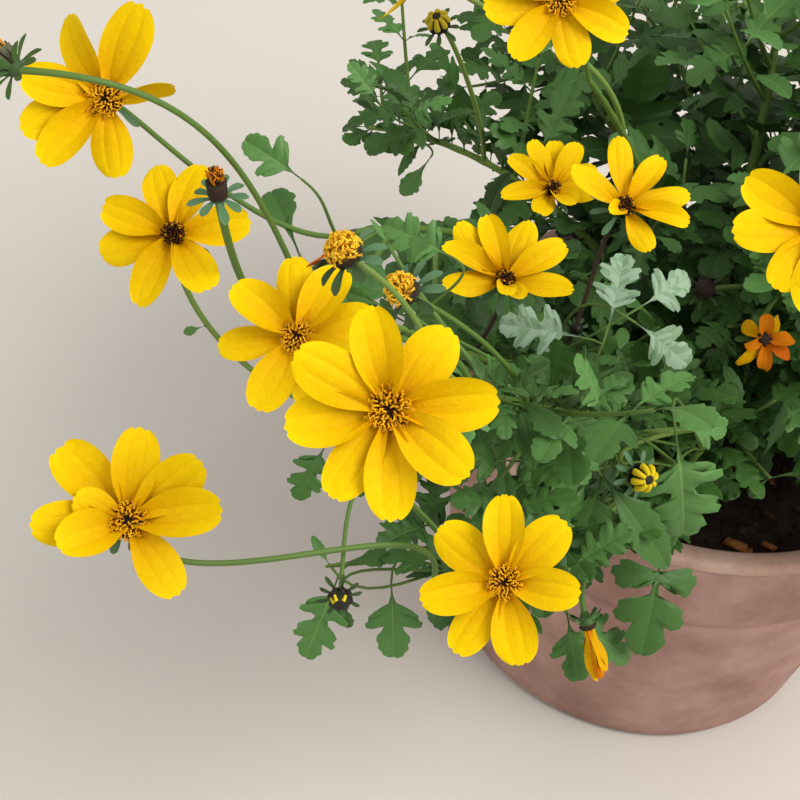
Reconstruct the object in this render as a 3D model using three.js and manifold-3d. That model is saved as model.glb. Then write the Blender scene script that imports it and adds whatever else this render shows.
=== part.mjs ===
// Potted bidens: a terracotta pot filled with compost, a short woody crown, the stems that arch out
// of it, and on each stem a spray of twigs, leaves, flowers, buds and seed heads.
// Millimetres, +Z up. The origin is the centre of the pot's flat underside, and -Y is the front.
import * as THREE from "three";
import { mergeVertices } from "three/addons/utils/BufferGeometryUtils.js";
import Module from "manifold-3d";

const wasm = await Module();
wasm.setup();

// Pot and compost
const potHeight = 137;
const rimRadius = 100;
const footRadius = 83;
const bandFoot = 100;
const lipDepth = 6;
const wall = 8;
const floorThickness = 9;
const compostTop = 120;
const potSegments = 40;

// Crown and stems
const gap = 0.3;
const crownTop = 154;
const crownRadius = 8.5;
const stemFootOut = 5;
const crownFlare = 14;
const crownSegments = 12;
const stemFootRadius = 2.3;
const stemJointRadius = 1.6;
const stemTipRadius = 1.2;
const stalkRadius = 1.15;
const twigRadius = 1.1;
const boughShare = 0.2;
const boughSides = 4;
const boughSteps = 3;

// Leaves and twigs
const leafLength = 44;
const leafThickness = 0.9;
const leafAtFoot = 1.05;
const leafTaper = 0.6;
const leafSmallest = 0.8;
const leafVariety = 0.35;
const leafLean = { out: 0.85, along: 0.35, up: 0.3 };
const twigLength = 52;
const nodeSpacing = 13;
const spaceMargin = 2.6;
const limbClearance = 5;
const potClearance = 3;
const crowding = 0.17;
const smallerTries = [1, 0.75, 0.55];
const twigRoom = 3;
const twigNodes = [0.45, 0.8];
const twigLeaves = [1, 0.85, 0.9];
const twigSmallest = 0.6;
const twigVariety = 0.5;
const twigRise = 0.15;
const twigTests = [0.15, 0.3, 0.5, 0.7, 0.85, 1];
const nodeHeight = 2.6;
const nodeTurn = 0.75;

// How a stalk leaves its stem and comes in behind its head
const stalkLean = { along: 0.4, up: 0.35, foot: 0.7, head: 0.35 };
const stalkInset = { flower: 0.08, seed: 0.14, wilted: 0.2, bud: 0.34, leaf: 0 };
const stalkSteps = 3;
const archSteps = 6;

// Heads that the loops make, beside the named ones
const usualFlower = 44;
const usualPetals = 8;
const usualBud = 9;
const usualSeed = 18;
const flowerBeyond = 26;
const flowerAbove = 62;
const flowerTurn = 12;
const flowerRise = 30;
const secondTurn = -15;
const secondReach = 0.8;
const secondAbove = 52;
const secondAt = 0.6;

const paint = (color, roughness) => new THREE.MeshStandardMaterial({ color, roughness, metalness: 0 });
const terracotta = paint(0x9a7468, 0.85);
const earth = paint(0x2e221b, 0.95);
const bark = paint(0x5d5233, 0.9);
const stemGreen = paint(0x6f8a3c, 0.7);
const leafGreen = paint(0x3f7a3a, 0.65);

const place = (x, y, z) => new THREE.Vector3(x, y, z);
const upward = place(0, 0, 1);

// A number from 0 to 1 that depends only on what it is asked for
function chance(spray, item, channel) {
  const wave = Math.sin(spray * 12.9898 + item * 78.233 + channel * 37.719) * 43758.5453;
  return wave - Math.floor(wave);
}

// The stems that carry the named flowers. Each leaves the crown at height foot, bends towards its
// knee and ends at its tip, where its last flower's stalk goes on. leafy is the share of the
// spray's stem that has leaves. A head's stalk leaves the stem at the share at.
const namedStems = [
  {
    name: "left_high", foot: 144, knee: place(-95, -50, 245), tip: place(-146, -112, 266), leafy: 0.6,
    heads: [
      {
        kind: "flower", at: 1, place: place(-209, -147, 327), face: place(0.05, -0.75, 0.66),
        across: 46, petals: 7,
      },
      {
        kind: "flower", at: 0.7, place: place(-188, -150, 287), face: place(-0.1, -0.5, 0.86),
        across: 45, petals: 7,
      },
      {
        kind: "seed", at: 0.85, place: place(-173, -176, 326), face: place(-0.15, -0.1, 1),
        across: 22,
      },
    ],
  },
  {
    name: "left_arch", foot: 142, knee: place(-72, -125, 228), tip: place(-148, -156, 276), leafy: 0.6,
    heads: [
      {
        kind: "seed", at: 1, place: place(-222, -185, 360), face: place(-1, -0.2, 0.2), across: 20,
        arch: 40, leave: place(-8, -15, 52),
      },
      {
        kind: "flower", at: 0.7, place: place(-148, -178, 284), face: place(-0.1, -0.55, 0.83),
        across: 45, petals: 8,
      },
      {
        kind: "leaf", at: 0.8, place: place(-135, -188, 258), face: place(-0.36, -0.66, -0.66),
        across: 16,
      },
    ],
  },
  {
    name: "front_high", foot: 147, knee: place(-50, -150, 235), tip: place(-100, -188, 288), leafy: 0.6,
    heads: [
      {
        kind: "flower", at: 1, place: place(-120, -258, 346), face: place(0, -0.72, 0.69),
        across: 46, petals: 8,
      },
      {
        kind: "seed", at: 0.9, place: place(-136, -216, 352), face: place(-0.5, 0.1, 0.86),
        across: 20,
      },
      {
        kind: "seed", at: 0.75, place: place(-123, -190, 328), face: place(-0.8, 0, 0.6),
        across: 20,
      },
    ],
  },
  {
    name: "left_low", foot: 130, knee: place(-30, -150, 205), tip: place(-100, -215, 240), leafy: 1,
    heads: [
      {
        kind: "flower", at: 1, place: place(-176, -254, 288), face: place(0.1, -0.55, 0.83),
        across: 46, petals: 7,
      },
      {
        kind: "flower", at: 0.6, place: place(-84, -236, 269), face: place(-0.05, -0.75, 0.66),
        across: 44, petals: 7,
      },
      { kind: "bud", at: 0.9, place: place(-124, -243, 259), face: place(0, -0.6, 0.8), across: 8 },
      {
        kind: "leaf", at: 0.9, place: place(-128, -236, 257), face: place(-0.15, -0.75, -0.55),
        across: 18,
      },
      {
        kind: "leaf", at: 0.7, place: place(-113, -232, 254), face: place(0.35, -0.6, -0.7),
        across: 17,
      },
    ],
  },
  {
    name: "front_low", foot: 138, knee: place(6, -85, 215), tip: place(-42, -138, 178), leafy: 1,
    heads: [
      {
        kind: "wilted", at: 0.95, place: place(-43, -170, 156), face: place(0.1, -0.3, -0.9),
        across: 24,
      },
      {
        kind: "bud", at: 0.4, place: place(-44, -163, 240), face: place(0, -0.5, 0.86),
        across: 10,
      },
    ],
  },
  {
    name: "middle", foot: 130, knee: place(-60, -70, 190), tip: place(-90, -106, 215), leafy: 0.9,
    heads: [
      {
        kind: "flower", at: 1, place: place(-94, -117, 267), face: place(0.05, -0.3, 0.95),
        across: 42, petals: 8,
      },
      {
        kind: "flower", at: 0.6, place: place(-61, -83, 274), face: place(0.15, -0.4, 0.9),
        across: 42, petals: 7,
      },
    ],
  },
  {
    name: "back_high", foot: 150, knee: place(-45, -20, 245), tip: place(-78, -50, 296), leafy: 0.6,
    heads: [
      {
        kind: "flower", at: 1, place: place(-95, -90, 346), face: place(0.1, -0.7, 0.7),
        across: 44, petals: 8,
      },
      {
        kind: "flower", at: 0.7, place: place(-130, -66, 334), face: place(-0.3, -0.5, 0.8),
        across: 44, petals: 8,
      },
      {
        kind: "bud", at: 0.5, place: place(-128, -55, 305), face: place(-0.2, -0.3, 0.9),
        across: 9,
      },
    ],
  },
  {
    name: "left_back", foot: 134, knee: place(-80, 20, 220), tip: place(-150, 28, 205), leafy: 1,
    heads: [
      {
        kind: "flower", at: 0.3, place: place(-84, -17, 236), face: place(0.2, -0.2, 0.95),
        across: 40, petals: 8,
      },
      { kind: "bud", at: 0.8, place: place(-140, 8, 250), face: place(-0.2, 0, 1), across: 8 },
    ],
  },
  {
    name: "front_right_high", foot: 149, knee: place(12, -45, 230), tip: place(-5, -105, 288), leafy: 0.8,
    heads: [
      {
        kind: "flower", at: 1, place: place(-22, -162, 336), face: place(-0.1, -0.6, 0.78),
        across: 45, petals: 8,
      },
      {
        kind: "wilted", at: 0.3, place: place(14, -92, 226), face: place(0.3, -0.8, 0.3),
        across: 22,
      },
    ],
  },
];

// The stems of the rest of the crown: an outer ring that hangs over the rim and an inner one
const outerRing = { first: -47, step: 30.4, count: 7, reach: 158, height: 200, rise: 38, foot: 134 };
const innerRing = { first: -25, step: 62, count: 3, reach: 78, height: 270, rise: 6, foot: 146 };
const unevenness = 26;
const heightUnevenness = 42;

// A point on the ring at an angle in degrees
function aroundCrown(angle, radius, z) {
  const turn = THREE.MathUtils.degToRad(angle);
  return place(radius * Math.cos(turn), radius * Math.sin(turn), z);
}

function ringStems(ring, label) {
  const stems = [];
  for (let i = 0; i < ring.count; i += 1) {
    const angle = ring.first + ring.step * i;
    const sway = chance(ring.reach, i, 1) - 0.5;
    const reach = ring.reach + unevenness * sway;
    const height = ring.height + heightUnevenness * (chance(ring.reach, i, 2) - 0.5);
    const tip = aroundCrown(angle, reach, height);
    const flowerHeight = height + flowerAbove + flowerRise * sway;
    const flower = aroundCrown(angle + flowerTurn * sway, reach + flowerBeyond, flowerHeight);
    const second = aroundCrown(angle + secondTurn, reach * secondReach, height + secondAbove);
    const budNext = i % 2 === 1;
    stems.push({
      name: `${label}_${i + 1}`,
      foot: ring.foot + (budNext ? 6 : 0),
      knee: aroundCrown(angle, reach * 0.5, height + ring.rise),
      tip,
      leafy: 1,
      heads: [
        {
          kind: "flower", at: 1, place: flower, across: usualFlower, petals: usualPetals,
          face: flower.clone().setZ(0).normalize().multiplyScalar(0.55).setZ(0.83),
        },
        {
          kind: budNext ? "bud" : "seed", at: secondAt, place: second, face: place(0.1, 0, 1),
          across: budNext ? usualBud : usualSeed,
        },
      ],
    });
  }
  return stems;
}

// Short leafy sprays low in the middle, which spring from the crown itself
const heartRing = { first: -32, step: 60, count: 5, reach: 68, height: 160, rise: 14, foot: 127 };

function heartStems() {
  const stems = [];
  for (let i = 0; i < heartRing.count; i += 1) {
    const angle = heartRing.first + heartRing.step * i;
    const height = heartRing.height + unevenness * (chance(heartRing.reach, i, 2) - 0.5);
    stems.push({
      name: `heart_${i + 1}`,
      foot: heartRing.foot,
      knee: aroundCrown(angle, heartRing.reach * 0.55, height + heartRing.rise),
      tip: aroundCrown(angle, heartRing.reach, height),
      leafy: 1,
      bare: true,
      heads: [],
    });
  }
  return stems;
}

const stems = [
  ...namedStems, ...ringStems(outerRing, "rim"), ...ringStems(innerRing, "top"), ...heartStems(),
];

// The crown's outside, from where it flares into the compost to its blunt top: [radius, height]
const crownProfile = [
  [crownFlare, compostTop + gap], [crownRadius * 1.3, compostTop + 4], [crownRadius, compostTop + 10],
  [crownRadius * 0.9, crownTop - 4], [crownRadius * 0.6, crownTop],
];

function crownRadiusAt(z) {
  const above = Math.max(1, crownProfile.findIndex(([, height]) => height > z));
  const [[lowRadius, low], [highRadius, high]] = [crownProfile[above - 1], crownProfile[above]];
  return THREE.MathUtils.mapLinear(z, low, high, lowRadius, highRadius);
}

// The points of a ring round an axis
function circle(centre, axis, start, radius, count) {
  const spots = [];
  for (let i = 0; i < count; i += 1) {
    const out = start.clone().applyAxisAngle(axis, (2 * Math.PI * i) / count);
    spots.push(centre.clone().addScaledVector(out, radius));
  }
  return spots;
}

// The share of a stem's length at which its whole section is clear of the crown
const exitStep = 0.002;

function crownExit(curve) {
  let share = 0;
  const inside = (spot) => Math.hypot(spot.x, spot.y) < crownRadiusAt(spot.z) + gap;
  const section = () => {
    const axis = curve.getTangent(share);
    return circle(curve.getPoint(share), axis, square(axis), stemJointRadius, 3);
  };
  while (section().some(inside)) share += exitStep;
  return share;
}

// The stretch of a bent limb between two shares of its length
function stretch(curve, from, to) {
  const middle = curve.v0.clone().multiplyScalar((1 - from) * (1 - to))
    .addScaledVector(curve.v1, (1 - from) * to + from * (1 - to))
    .addScaledVector(curve.v2, from * to);
  return new THREE.QuadraticBezierCurve3(curve.getPoint(from), middle, curve.getPoint(to));
}

// A closed geometry as a solid, moved by a matrix
function solid(geometry, matrix = new THREE.Matrix4()) {
  const shape = geometry.clone().applyMatrix4(matrix);
  shape.deleteAttribute("normal");
  shape.deleteAttribute("uv");
  const merged = mergeVertices(shape, 1e-4);
  const corners = [];
  for (let i = 0; i < merged.index.count; i += 3) {
    const [a, b, c] = [merged.index.getX(i), merged.index.getX(i + 1), merged.index.getX(i + 2)];
    if (a !== b && b !== c && c !== a) corners.push(a, b, c);
  }
  return new wasm.Manifold(new wasm.Mesh({
    numProp: 3,
    vertProperties: new Float32Array(merged.attributes.position.array),
    triVerts: new Uint32Array(corners),
  }));
}

// A turned form: profile points are [radius, height], from axis to axis
function turned(profile, segments) {
  const points = profile.map(([radius, height]) => new THREE.Vector2(radius, height));
  return new THREE.LatheGeometry(points, segments).rotateX(Math.PI / 2);
}

// A tapering limb along a curve: a cylinder whose rings are set along it
function limb(curve, footRadius, tipRadius, sides, steps) {
  const geometry = new THREE.CylinderGeometry(tipRadius, footRadius, 1, sides, steps);
  const frames = curve.computeFrenetFrames(steps);
  const ring = geometry.attributes.position;
  for (let i = 0; i < ring.count; i += 1) {
    const row = Math.round((ring.getY(i) + 0.5) * steps);
    const spot = curve.getPointAt(row / steps)
      .addScaledVector(frames.binormals[row], ring.getX(i))
      .addScaledVector(frames.normals[row], ring.getZ(i));
    ring.setXYZ(i, spot.x, spot.y, spot.z);
  }
  return solid(geometry);
}

// Any direction square to another one
function square(direction) {
  const helper = Math.abs(direction.z) < 0.9 ? upward : place(1, 0, 0);
  return direction.clone().cross(helper).normalize();
}

// A matrix that sets a shape at a spot, its X along forward and its Z as near as may be to rise
function setting(spot, forward, rise, size) {
  const x = forward.clone().normalize();
  const y = rise.clone().cross(x).normalize();
  const z = x.clone().cross(y);
  return new THREE.Matrix4().makeBasis(x, y, z).setPosition(spot).scale(place(size, size, size));
}

// A closed skin that grows ring by ring. A ring is a list of point numbers that runs
// anticlockwise as seen from its outer end
class Skin {
  points = [];

  faces = [];

  add(spot) {
    this.points.push(spot);
    return this.points.length - 1;
  }

  addAll(shares, matrix) {
    return shares.map(([x, y, z]) => this.add(place(x, y, z).applyMatrix4(matrix)));
  }

  face(...corners) {
    this.faces.push(...corners);
  }

  middle(ring) {
    const sum = ring.reduce((total, id) => total.add(this.points[id]), place(0, 0, 0));
    return sum.divideScalar(ring.length);
  }

  ring(centre, axis, start, radius, count) {
    return circle(centre, axis, start, radius, count).map((spot) => this.add(spot));
  }

  // Two rings of one size, side by side. What a side's organ grows on is left open for it
  band(low, high, organs = []) {
    const count = low.length;
    for (let i = 0; i < count; i += 1) {
      const next = (i + 1) % count;
      const root = [low[i], high[next], high[i]];
      this.face(low[i], low[next], high[next]);
      if (!organs[i] || !organs[i](root)) this.face(...root);
    }
  }

  // The angles of a ring's points round an axis through its middle, rising from the first
  anglesOf(ring, axis) {
    const centre = this.middle(ring);
    const across = square(axis);
    const over = axis.clone().cross(across);
    const full = 2 * Math.PI;
    const angles = [];
    ring.forEach((id) => {
      const arm = this.points[id].clone().sub(centre);
      const angle = Math.atan2(arm.dot(over), arm.dot(across));
      const last = angles.length ? angles[angles.length - 1] : angle;
      angles.push(last + THREE.MathUtils.euclideanModulo(angle - last, full));
    });
    return [...angles, angles[0] + full];
  }

  // Two rings of any sizes round one axis
  zip(low, high, axis) {
    const lowAngles = this.anglesOf(low, axis);
    const begin = lowAngles[0];
    const half = Math.PI;
    const turns = this.anglesOf(high, axis).slice(0, -1)
      .map((angle) => THREE.MathUtils.euclideanModulo(angle - begin + half, 2 * half) - half);
    const shift = turns.reduce((best, turn, i) => (Math.abs(turn) < Math.abs(turns[best]) ? i : best), 0);
    const facing = [...high.slice(shift), ...high.slice(0, shift)];
    const start = begin + turns[shift];
    const highAngles = this.anglesOf(facing, axis).map((angle, i, all) => angle - all[0] + start);
    let i = 0;
    let j = 0;
    while (i < low.length || j < facing.length) {
      const fromLow = i < low.length && (j === facing.length || lowAngles[i + 1] < highAngles[j + 1]);
      const a = low[i % low.length];
      const b = facing[j % facing.length];
      if (fromLow) {
        this.face(a, low[(i + 1) % low.length], b);
        i += 1;
      } else {
        this.face(a, facing[(j + 1) % facing.length], b);
        j += 1;
      }
    }
  }

  // The end of a ring, drawn to one point
  peak(ring, spot) {
    const tip = this.add(spot);
    ring.forEach((id, i) => this.face(id, ring[(i + 1) % ring.length], tip));
  }

  // A three-sided limb along a curve from an open root. It returns its last ring
  tube(root, curve, radius, steps) {
    let low = root;
    for (let step = 1; step <= steps; step += 1) {
      const axis = curve.getTangent(step / steps);
      const centre = curve.getPoint(step / steps);
      const arm = this.points[low[0]].clone().sub(this.middle(low));
      const start = arm.addScaledVector(axis, -arm.dot(axis)).normalize();
      const high = this.ring(centre, axis, start, radius, 3);
      this.band(low, high);
      low = high;
    }
    return low;
  }

  solid() {
    const geometry = new THREE.BufferGeometry();
    const numbers = this.points.flatMap((point) => point.toArray());
    geometry.setAttribute("position", new THREE.Float32BufferAttribute(numbers, 3));
    geometry.setIndex(this.faces);
    return solid(geometry);
  }
}

// A three-lobed leaf on an open root: shares of its length along, across and up
const leafHalf = [[0.5, -0.36, 0.05], [0.62, -0.15, 0.03]];
const leafRim = [...leafHalf, [1, 0, -0.09], [0.62, 0.15, 0.03], [0.5, 0.36, 0.05]];
const leafKeel = 0.5;

function leafSkin(skin, root, matrix) {
  const rise = new THREE.Vector3().setFromMatrixColumn(matrix, 2);
  const heights = root.map((id) => skin.points[id].dot(rise));
  const lowest = heights.indexOf(Math.min(...heights));
  const [keel, left, right] = [0, 1, 2].map((i) => root[(lowest + i) % 3]);
  const [r1, r2, tip, l2, l1] = skin.addAll(leafRim, matrix);
  const [under] = skin.addAll([[leafKeel, 0, -leafThickness / leafLength]], matrix);
  skin.face(left, right, r1, left, r1, l1, l1, r1, r2, l1, r2, l2, l2, r2, tip);
  const loop = [left, l1, l2, tip, r2, r1, right, keel, left];
  loop.slice(1).forEach((id, i) => skin.face(under, loop[i], id));
}

// What stands round the middle of a head, in shares of its radius: calyx, dome and crest are
// [radius, height], apex is a height, and side, corner and keel are a petal's points
const rosettes = {
  flower: {
    calyx: [0.19, -0.12], dome: [0.19, 0.05], apex: 0.17,
    side: [0.64, 0.235, 0.2], corner: [0.97, 0.13, 0.23], keel: [0.6, 0, 0.1],
  },
  seed: {
    calyx: [0.22, -0.2], dome: [0.26, 0.05], crest: [0.26, 0.5], apex: 0.65,
    side: [0.6, 0.1, -0.05], corner: [1, 0.09, -0.08], keel: [0.7, 0, -0.16],
  },
  wilted: {
    calyx: [0.2, -0.3], dome: [0.2, 0], apex: 0.2,
    side: [0.4, 0.16, 0.45], corner: [0.42, 0.12, 1.1], keel: [0.46, 0, 0.5],
  },
};

function rosette(skin, root, head, turn) {
  const form = rosettes[head.kind];
  const axis = head.face.clone().normalize();
  const size = head.across / 2;
  const count = head.petals || 5;
  const start = square(axis).applyAxisAngle(axis, turn);
  const level = (height) => head.place.clone().addScaledVector(axis, height * size);
  const around = ([radius, height]) => skin.ring(level(height), axis, start, radius * size, count);
  const calyx = around(form.calyx);
  const dome = around(form.dome);
  skin.zip(root, calyx, axis);
  for (let k = 0; k < count; k += 1) {
    const next = (k + 1) % count;
    const forward = start.clone().applyAxisAngle(axis, ((k + 0.5) * 2 * Math.PI) / count);
    const matrix = setting(head.place, forward, axis, size);
    const [side, corner] = [form.side, form.corner];
    const rim = [side, corner].map(([x, y, z]) => [x, -y, z]);
    const [sideA, cornerA, cornerB, sideB, keel] = skin.addAll([...rim, corner, side, form.keel], matrix);
    skin.face(dome[k], sideA, dome[next], dome[next], sideA, sideB);
    skin.face(sideA, cornerA, sideB, sideB, cornerA, cornerB);
    const loop = [calyx[k], calyx[next], sideB, cornerB, cornerA, sideA, calyx[k]];
    loop.slice(1).forEach((id, i) => skin.face(keel, loop[i], id));
    skin.face(sideA, dome[k], calyx[k], dome[next], sideB, calyx[next]);
  }
  let top = dome;
  if (form.crest) {
    top = around(form.crest);
    skin.band(dome, top);
  }
  skin.peak(top, level(form.apex));
}

const budSides = 5;
const budProfile = [[0.36, -0.3], [0.46, 0.15]];
const budApex = 0.55;

function bud(skin, root, head, turn) {
  const axis = head.face.clone().normalize();
  const start = square(axis).applyAxisAngle(axis, turn);
  const level = (height) => head.place.clone().addScaledVector(axis, height * head.across);
  const around = ([radius, height]) => skin.ring(level(height), axis, start, radius * head.across, budSides);
  const rings = budProfile.map(around);
  skin.zip(root, rings[0], axis);
  skin.band(rings[0], rings[1]);
  skin.peak(rings[1], level(budApex));
}

// The way of a head's stalk: it leaves the stem on the stem's way and comes in behind the head
function stalkCurve(stem, head) {
  const foot = stem.spray.getPoint(head.at);
  const axis = head.face.clone().normalize();
  const end = head.place.clone().addScaledVector(axis, -head.across * stalkInset[head.kind]);
  const reach = foot.distanceTo(end);
  const leave = stem.spray.getTangent(head.at).multiplyScalar(stalkLean.along);
  leave.addScaledVector(upward, stalkLean.up);
  const first = foot.clone().add(head.leave || leave.multiplyScalar(reach * stalkLean.foot));
  const last = end.clone().addScaledVector(axis, -(head.arch || reach * stalkLean.head));
  return new THREE.CubicBezierCurve3(foot, first, last, end);
}

stems.forEach((stem, index) => {
  stem.index = index;
  const foot = stem.knee.clone().setZ(0).setLength(stemFootOut).setZ(stem.foot);
  stem.curve = new THREE.QuadraticBezierCurve3(foot, stem.knee, stem.tip);
  const share = stem.bare ? crownExit(stem.curve) : boughShare;
  stem.bough = stretch(stem.curve, 0, share);
  stem.spray = stretch(stem.curve, stem.bare ? share : share + gap / stem.curve.getLength(), 1);
  stem.nodes = Math.round(stem.spray.getLength() / nodeSpacing);
  stem.heads.forEach((head) => {
    head.node = head.at < 1 ? Math.min(stem.nodes - 1, Math.floor(head.at * stem.nodes)) : stem.nodes;
    head.at = Math.min(1, (head.node + 0.5) / stem.nodes);
  });
  stem.stalks = stem.heads.map((head) => stalkCurve(stem, head));
});

// What each spray's space is measured from: its stem, its stalks and its flowers' petals
const sampleStep = 5;
const petalShares = [0.26, 0.46];
const leafShares = [0.2, 0.4, 0.6, 0.8, 1];
const petalSpots = 8;

function samples(curve) {
  return curve.getSpacedPoints(Math.ceil(curve.getLength() / sampleStep));
}

function petalSamples(head) {
  if (head.kind === "bud") return [head.place];
  if (head.kind === "leaf") {
    return leafShares.map((part) => head.place.clone().addScaledVector(head.face, part * head.across));
  }
  const axis = head.face.clone().normalize();
  const ring = [];
  for (let i = 0; i < petalSpots; i += 1) {
    const out = square(axis).applyAxisAngle(axis, (2 * Math.PI * i) / petalSpots);
    petalShares.forEach((part) => ring.push(head.place.clone().addScaledVector(out, head.across * part)));
  }
  return ring;
}

stems.forEach((stem) => {
  stem.frame = [...samples(stem.curve), ...stem.stalks.flatMap(samples), ...stem.heads.flatMap(petalSamples)];
});

function nearest(spot, points) {
  return Math.sqrt(Math.min(...points.map((point) => point.distanceToSquared(spot))));
}

// True where a spot is well inside a spray's own space, clear of every limb, the pot and the floor
function inSpace(spot, stem) {
  const own = nearest(spot, stem.frame);
  const clear = stems.every((other) => {
    if (other === stem) return true;
    const away = nearest(spot, other.frame);
    return away > limbClearance && away > own + spaceMargin;
  });
  return clear && nearest(spot, samples(stem.bough)) > limbClearance && clearOfPot(spot);
}

function clearOfPot(spot) {
  const out = Math.hypot(spot.x, spot.y);
  const inside = out < rimRadius - wall - potClearance && spot.z > compostTop + potClearance;
  return spot.z > potHeight + potClearance || out > rimRadius + potClearance || inside;
}

// Where a leaf is tested, as shares of its length along and across it
const leafTests = [[0.2, 0], [0.36, 0], [0.52, 0], [0.68, 0], [0.84, 0], [1, 0], [0.5, 0.18], [0.5, -0.18],
  [0.5, 0.36], [0.5, -0.36], [0.64, 0.13], [0.64, -0.13]];

// Grows a leaf on an open root, smaller where it has to be, if there is room for it
function leafOn(skin, root, stem, forward, length) {
  return smallerTries.some((share) => leafFits(skin, root, stem, forward, length * share));
}

// Grows a leaf if every tested spot is in its spray's space and not by another leaf
function leafFits(skin, root, stem, forward, length) {
  const matrix = setting(skin.middle(root), forward, upward, length);
  const spots = leafTests.map(([x, y]) => place(x, y, 0).applyMatrix4(matrix));
  const free = spots.every((spot) => inSpace(spot, stem));
  if (!free || spots.some((spot) => nearest(spot, stem.taken) < crowding * length)) return false;
  stem.taken.push(...spots);
  leafSkin(skin, root, matrix);
  return true;
}

// The way out of a stem through its side, leaning along the stem and to the light
function outward(skin, root, curve, share) {
  const away = skin.middle(root).sub(curve.getPoint(share)).setLength(leafLean.out);
  return away.addScaledVector(curve.getTangent(share), leafLean.along).addScaledVector(upward, leafLean.up);
}

// A node of a limb: two close rings, turned a little from node to node, with room for three organs
function node(skin, low, curve, share, radius, turn, organs) {
  const axis = curve.getTangent(share);
  const start = square(axis).applyAxisAngle(axis, turn);
  const centre = curve.getPoint(share);
  const under = skin.ring(centre.clone().addScaledVector(axis, -nodeHeight / 2), axis, start, radius, 3);
  const over = skin.ring(centre.clone().addScaledVector(axis, nodeHeight / 2), axis, start, radius, 3);
  skin.zip(low, under, axis);
  skin.band(under, over, organs);
  return over;
}

// A leaf's length where it grows: shorter towards the stem's tip, and uneven
function leafSize(stem, share, item, channel) {
  const variety = leafSmallest + leafVariety * chance(stem.index, item, channel);
  return leafLength * (leafAtFoot - leafTaper * share) * variety;
}

// The end of a limb: a leaf where there is room, or else a point
function endLimb(skin, root, stem, curve, size) {
  if (!leafOn(skin, root, stem, curve.getTangent(1), size)) skin.peak(root, curve.getPoint(1));
}

// A side twig with leaves at its nodes and one at its tip
function twigOn(skin, root, stem, item, curve, share) {
  const way = outward(skin, root, curve, share).normalize();
  const length = twigLength * (twigSmallest + twigVariety * chance(stem.index, item, 10));
  const spot = skin.middle(root);
  const knee = spot.clone().addScaledVector(way, length * 0.5);
  const tip = spot.clone().addScaledVector(way, length).addScaledVector(upward, length * twigRise);
  const twig = new THREE.QuadraticBezierCurve3(spot, knee, tip);
  const tests = twigTests.map((part) => twig.getPoint(part));
  if (tests.some((test) => !inSpace(test, stem) || nearest(test, stem.taken) < twigRoom)) return false;
  stem.taken.push(...tests);
  let low = root;
  twigNodes.forEach((part, i) => {
    const organ = (ring) => {
      const size = leafSize(stem, share, item + i, 11) * twigLeaves[i];
      return leafOn(skin, ring, stem, outward(skin, ring, twig, part), size);
    };
    low = node(skin, low, twig, part, twigRadius, item + i, [organ, organ, organ]);
  });
  endLimb(skin, low, stem, twig, leafSize(stem, share, item, 12) * twigLeaves[2]);
  return true;
}

// A head and its stalk on an open root
function headOn(skin, root, stem, i) {
  const head = stem.heads[i];
  const end = skin.tube(root, stem.stalks[i], stalkRadius, head.arch ? archSteps : stalkSteps);
  if (head.kind === "leaf") {
    leafSkin(skin, end, setting(head.place, head.face, upward, head.across));
    return true;
  }
  const grow = head.kind === "bud" ? bud : rosette;
  grow(skin, end, head, stem.index + i);
  return true;
}

// The three organs of a stem's node: stalks where the list has them, then leaves and a twig
function organsOf(skin, stem, item, share) {
  const heads = stem.heads.map((head, i) => i).filter((i) => stem.heads[i].node === item);
  return [0, 1, 2].map((side) => (root) => {
    if (side < heads.length) return headOn(skin, root, stem, heads[side]);
    if (share > stem.leafy) return false;
    const twig = side === 2 && twigOn(skin, root, stem, item, stem.spray, share);
    const size = leafSize(stem, share, item, side);
    return twig || leafOn(skin, root, stem, outward(skin, root, stem.spray, share), size);
  });
}

function growSpray(stem) {
  const skin = new Skin();
  stem.taken = [...stem.heads.flatMap(petalSamples), ...stem.stalks.flatMap(samples)];
  const begin = stem.spray.getTangent(0);
  let low = skin.ring(stem.spray.getPoint(0), begin, square(begin), stemJointRadius, 3);
  skin.face(low[0], low[2], low[1]);
  for (let item = 0; item < stem.nodes; item += 1) {
    const share = (item + 0.5) / stem.nodes;
    const radius = THREE.MathUtils.lerp(stemJointRadius, stemTipRadius, share);
    low = node(skin, low, stem.spray, share, radius, item * nodeTurn, organsOf(skin, stem, item, share));
  }
  const last = stem.heads.findIndex((head) => head.node === stem.nodes);
  if (last >= 0) headOn(skin, low, stem, last);
  else endLimb(skin, low, stem, stem.spray, leafSize(stem, 1, 0, 13));
  return skin.solid();
}

// The main piece of a cut solid: a loose scrap is dropped
function mainPiece(shape) {
  return shape.decompose().reduce((largest, piece) => (piece.volume() > largest.volume() ? piece : largest));
}

function named(name, shape, material) {
  const mesh = shape.getMesh();
  const geometry = new THREE.BufferGeometry();
  geometry.setAttribute("position", new THREE.Float32BufferAttribute(mesh.vertProperties, 3));
  geometry.setIndex(new THREE.BufferAttribute(mesh.triVerts, 1));
  geometry.computeVertexNormals();
  const object = new THREE.Mesh(geometry, material);
  object.name = name;
  return object;
}

// The pot's outside, from the foot up to the band, the lip and down the inside again
function potShape() {
  const bandTop = potHeight - lipDepth;
  const inner = rimRadius - wall;
  return solid(turned([
    [0, 0], [footRadius - 2, 0], [footRadius, 2.5],
    [rimRadius - 2.6, bandFoot - 3], [rimRadius - 3, bandFoot - 0.8],
    [rimRadius - 1.4, bandFoot + 1.5], [rimRadius - 0.8, bandTop], [rimRadius, bandTop + 1.4],
    [rimRadius, potHeight - 1.6], [rimRadius - 1.8, potHeight],
    [inner + 1.6, potHeight], [inner, potHeight - 1.6],
    [innerRadius(compostTop), compostTop], [innerRadius(floorThickness), floorThickness], [0, floorThickness],
  ], potSegments));
}

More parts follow.
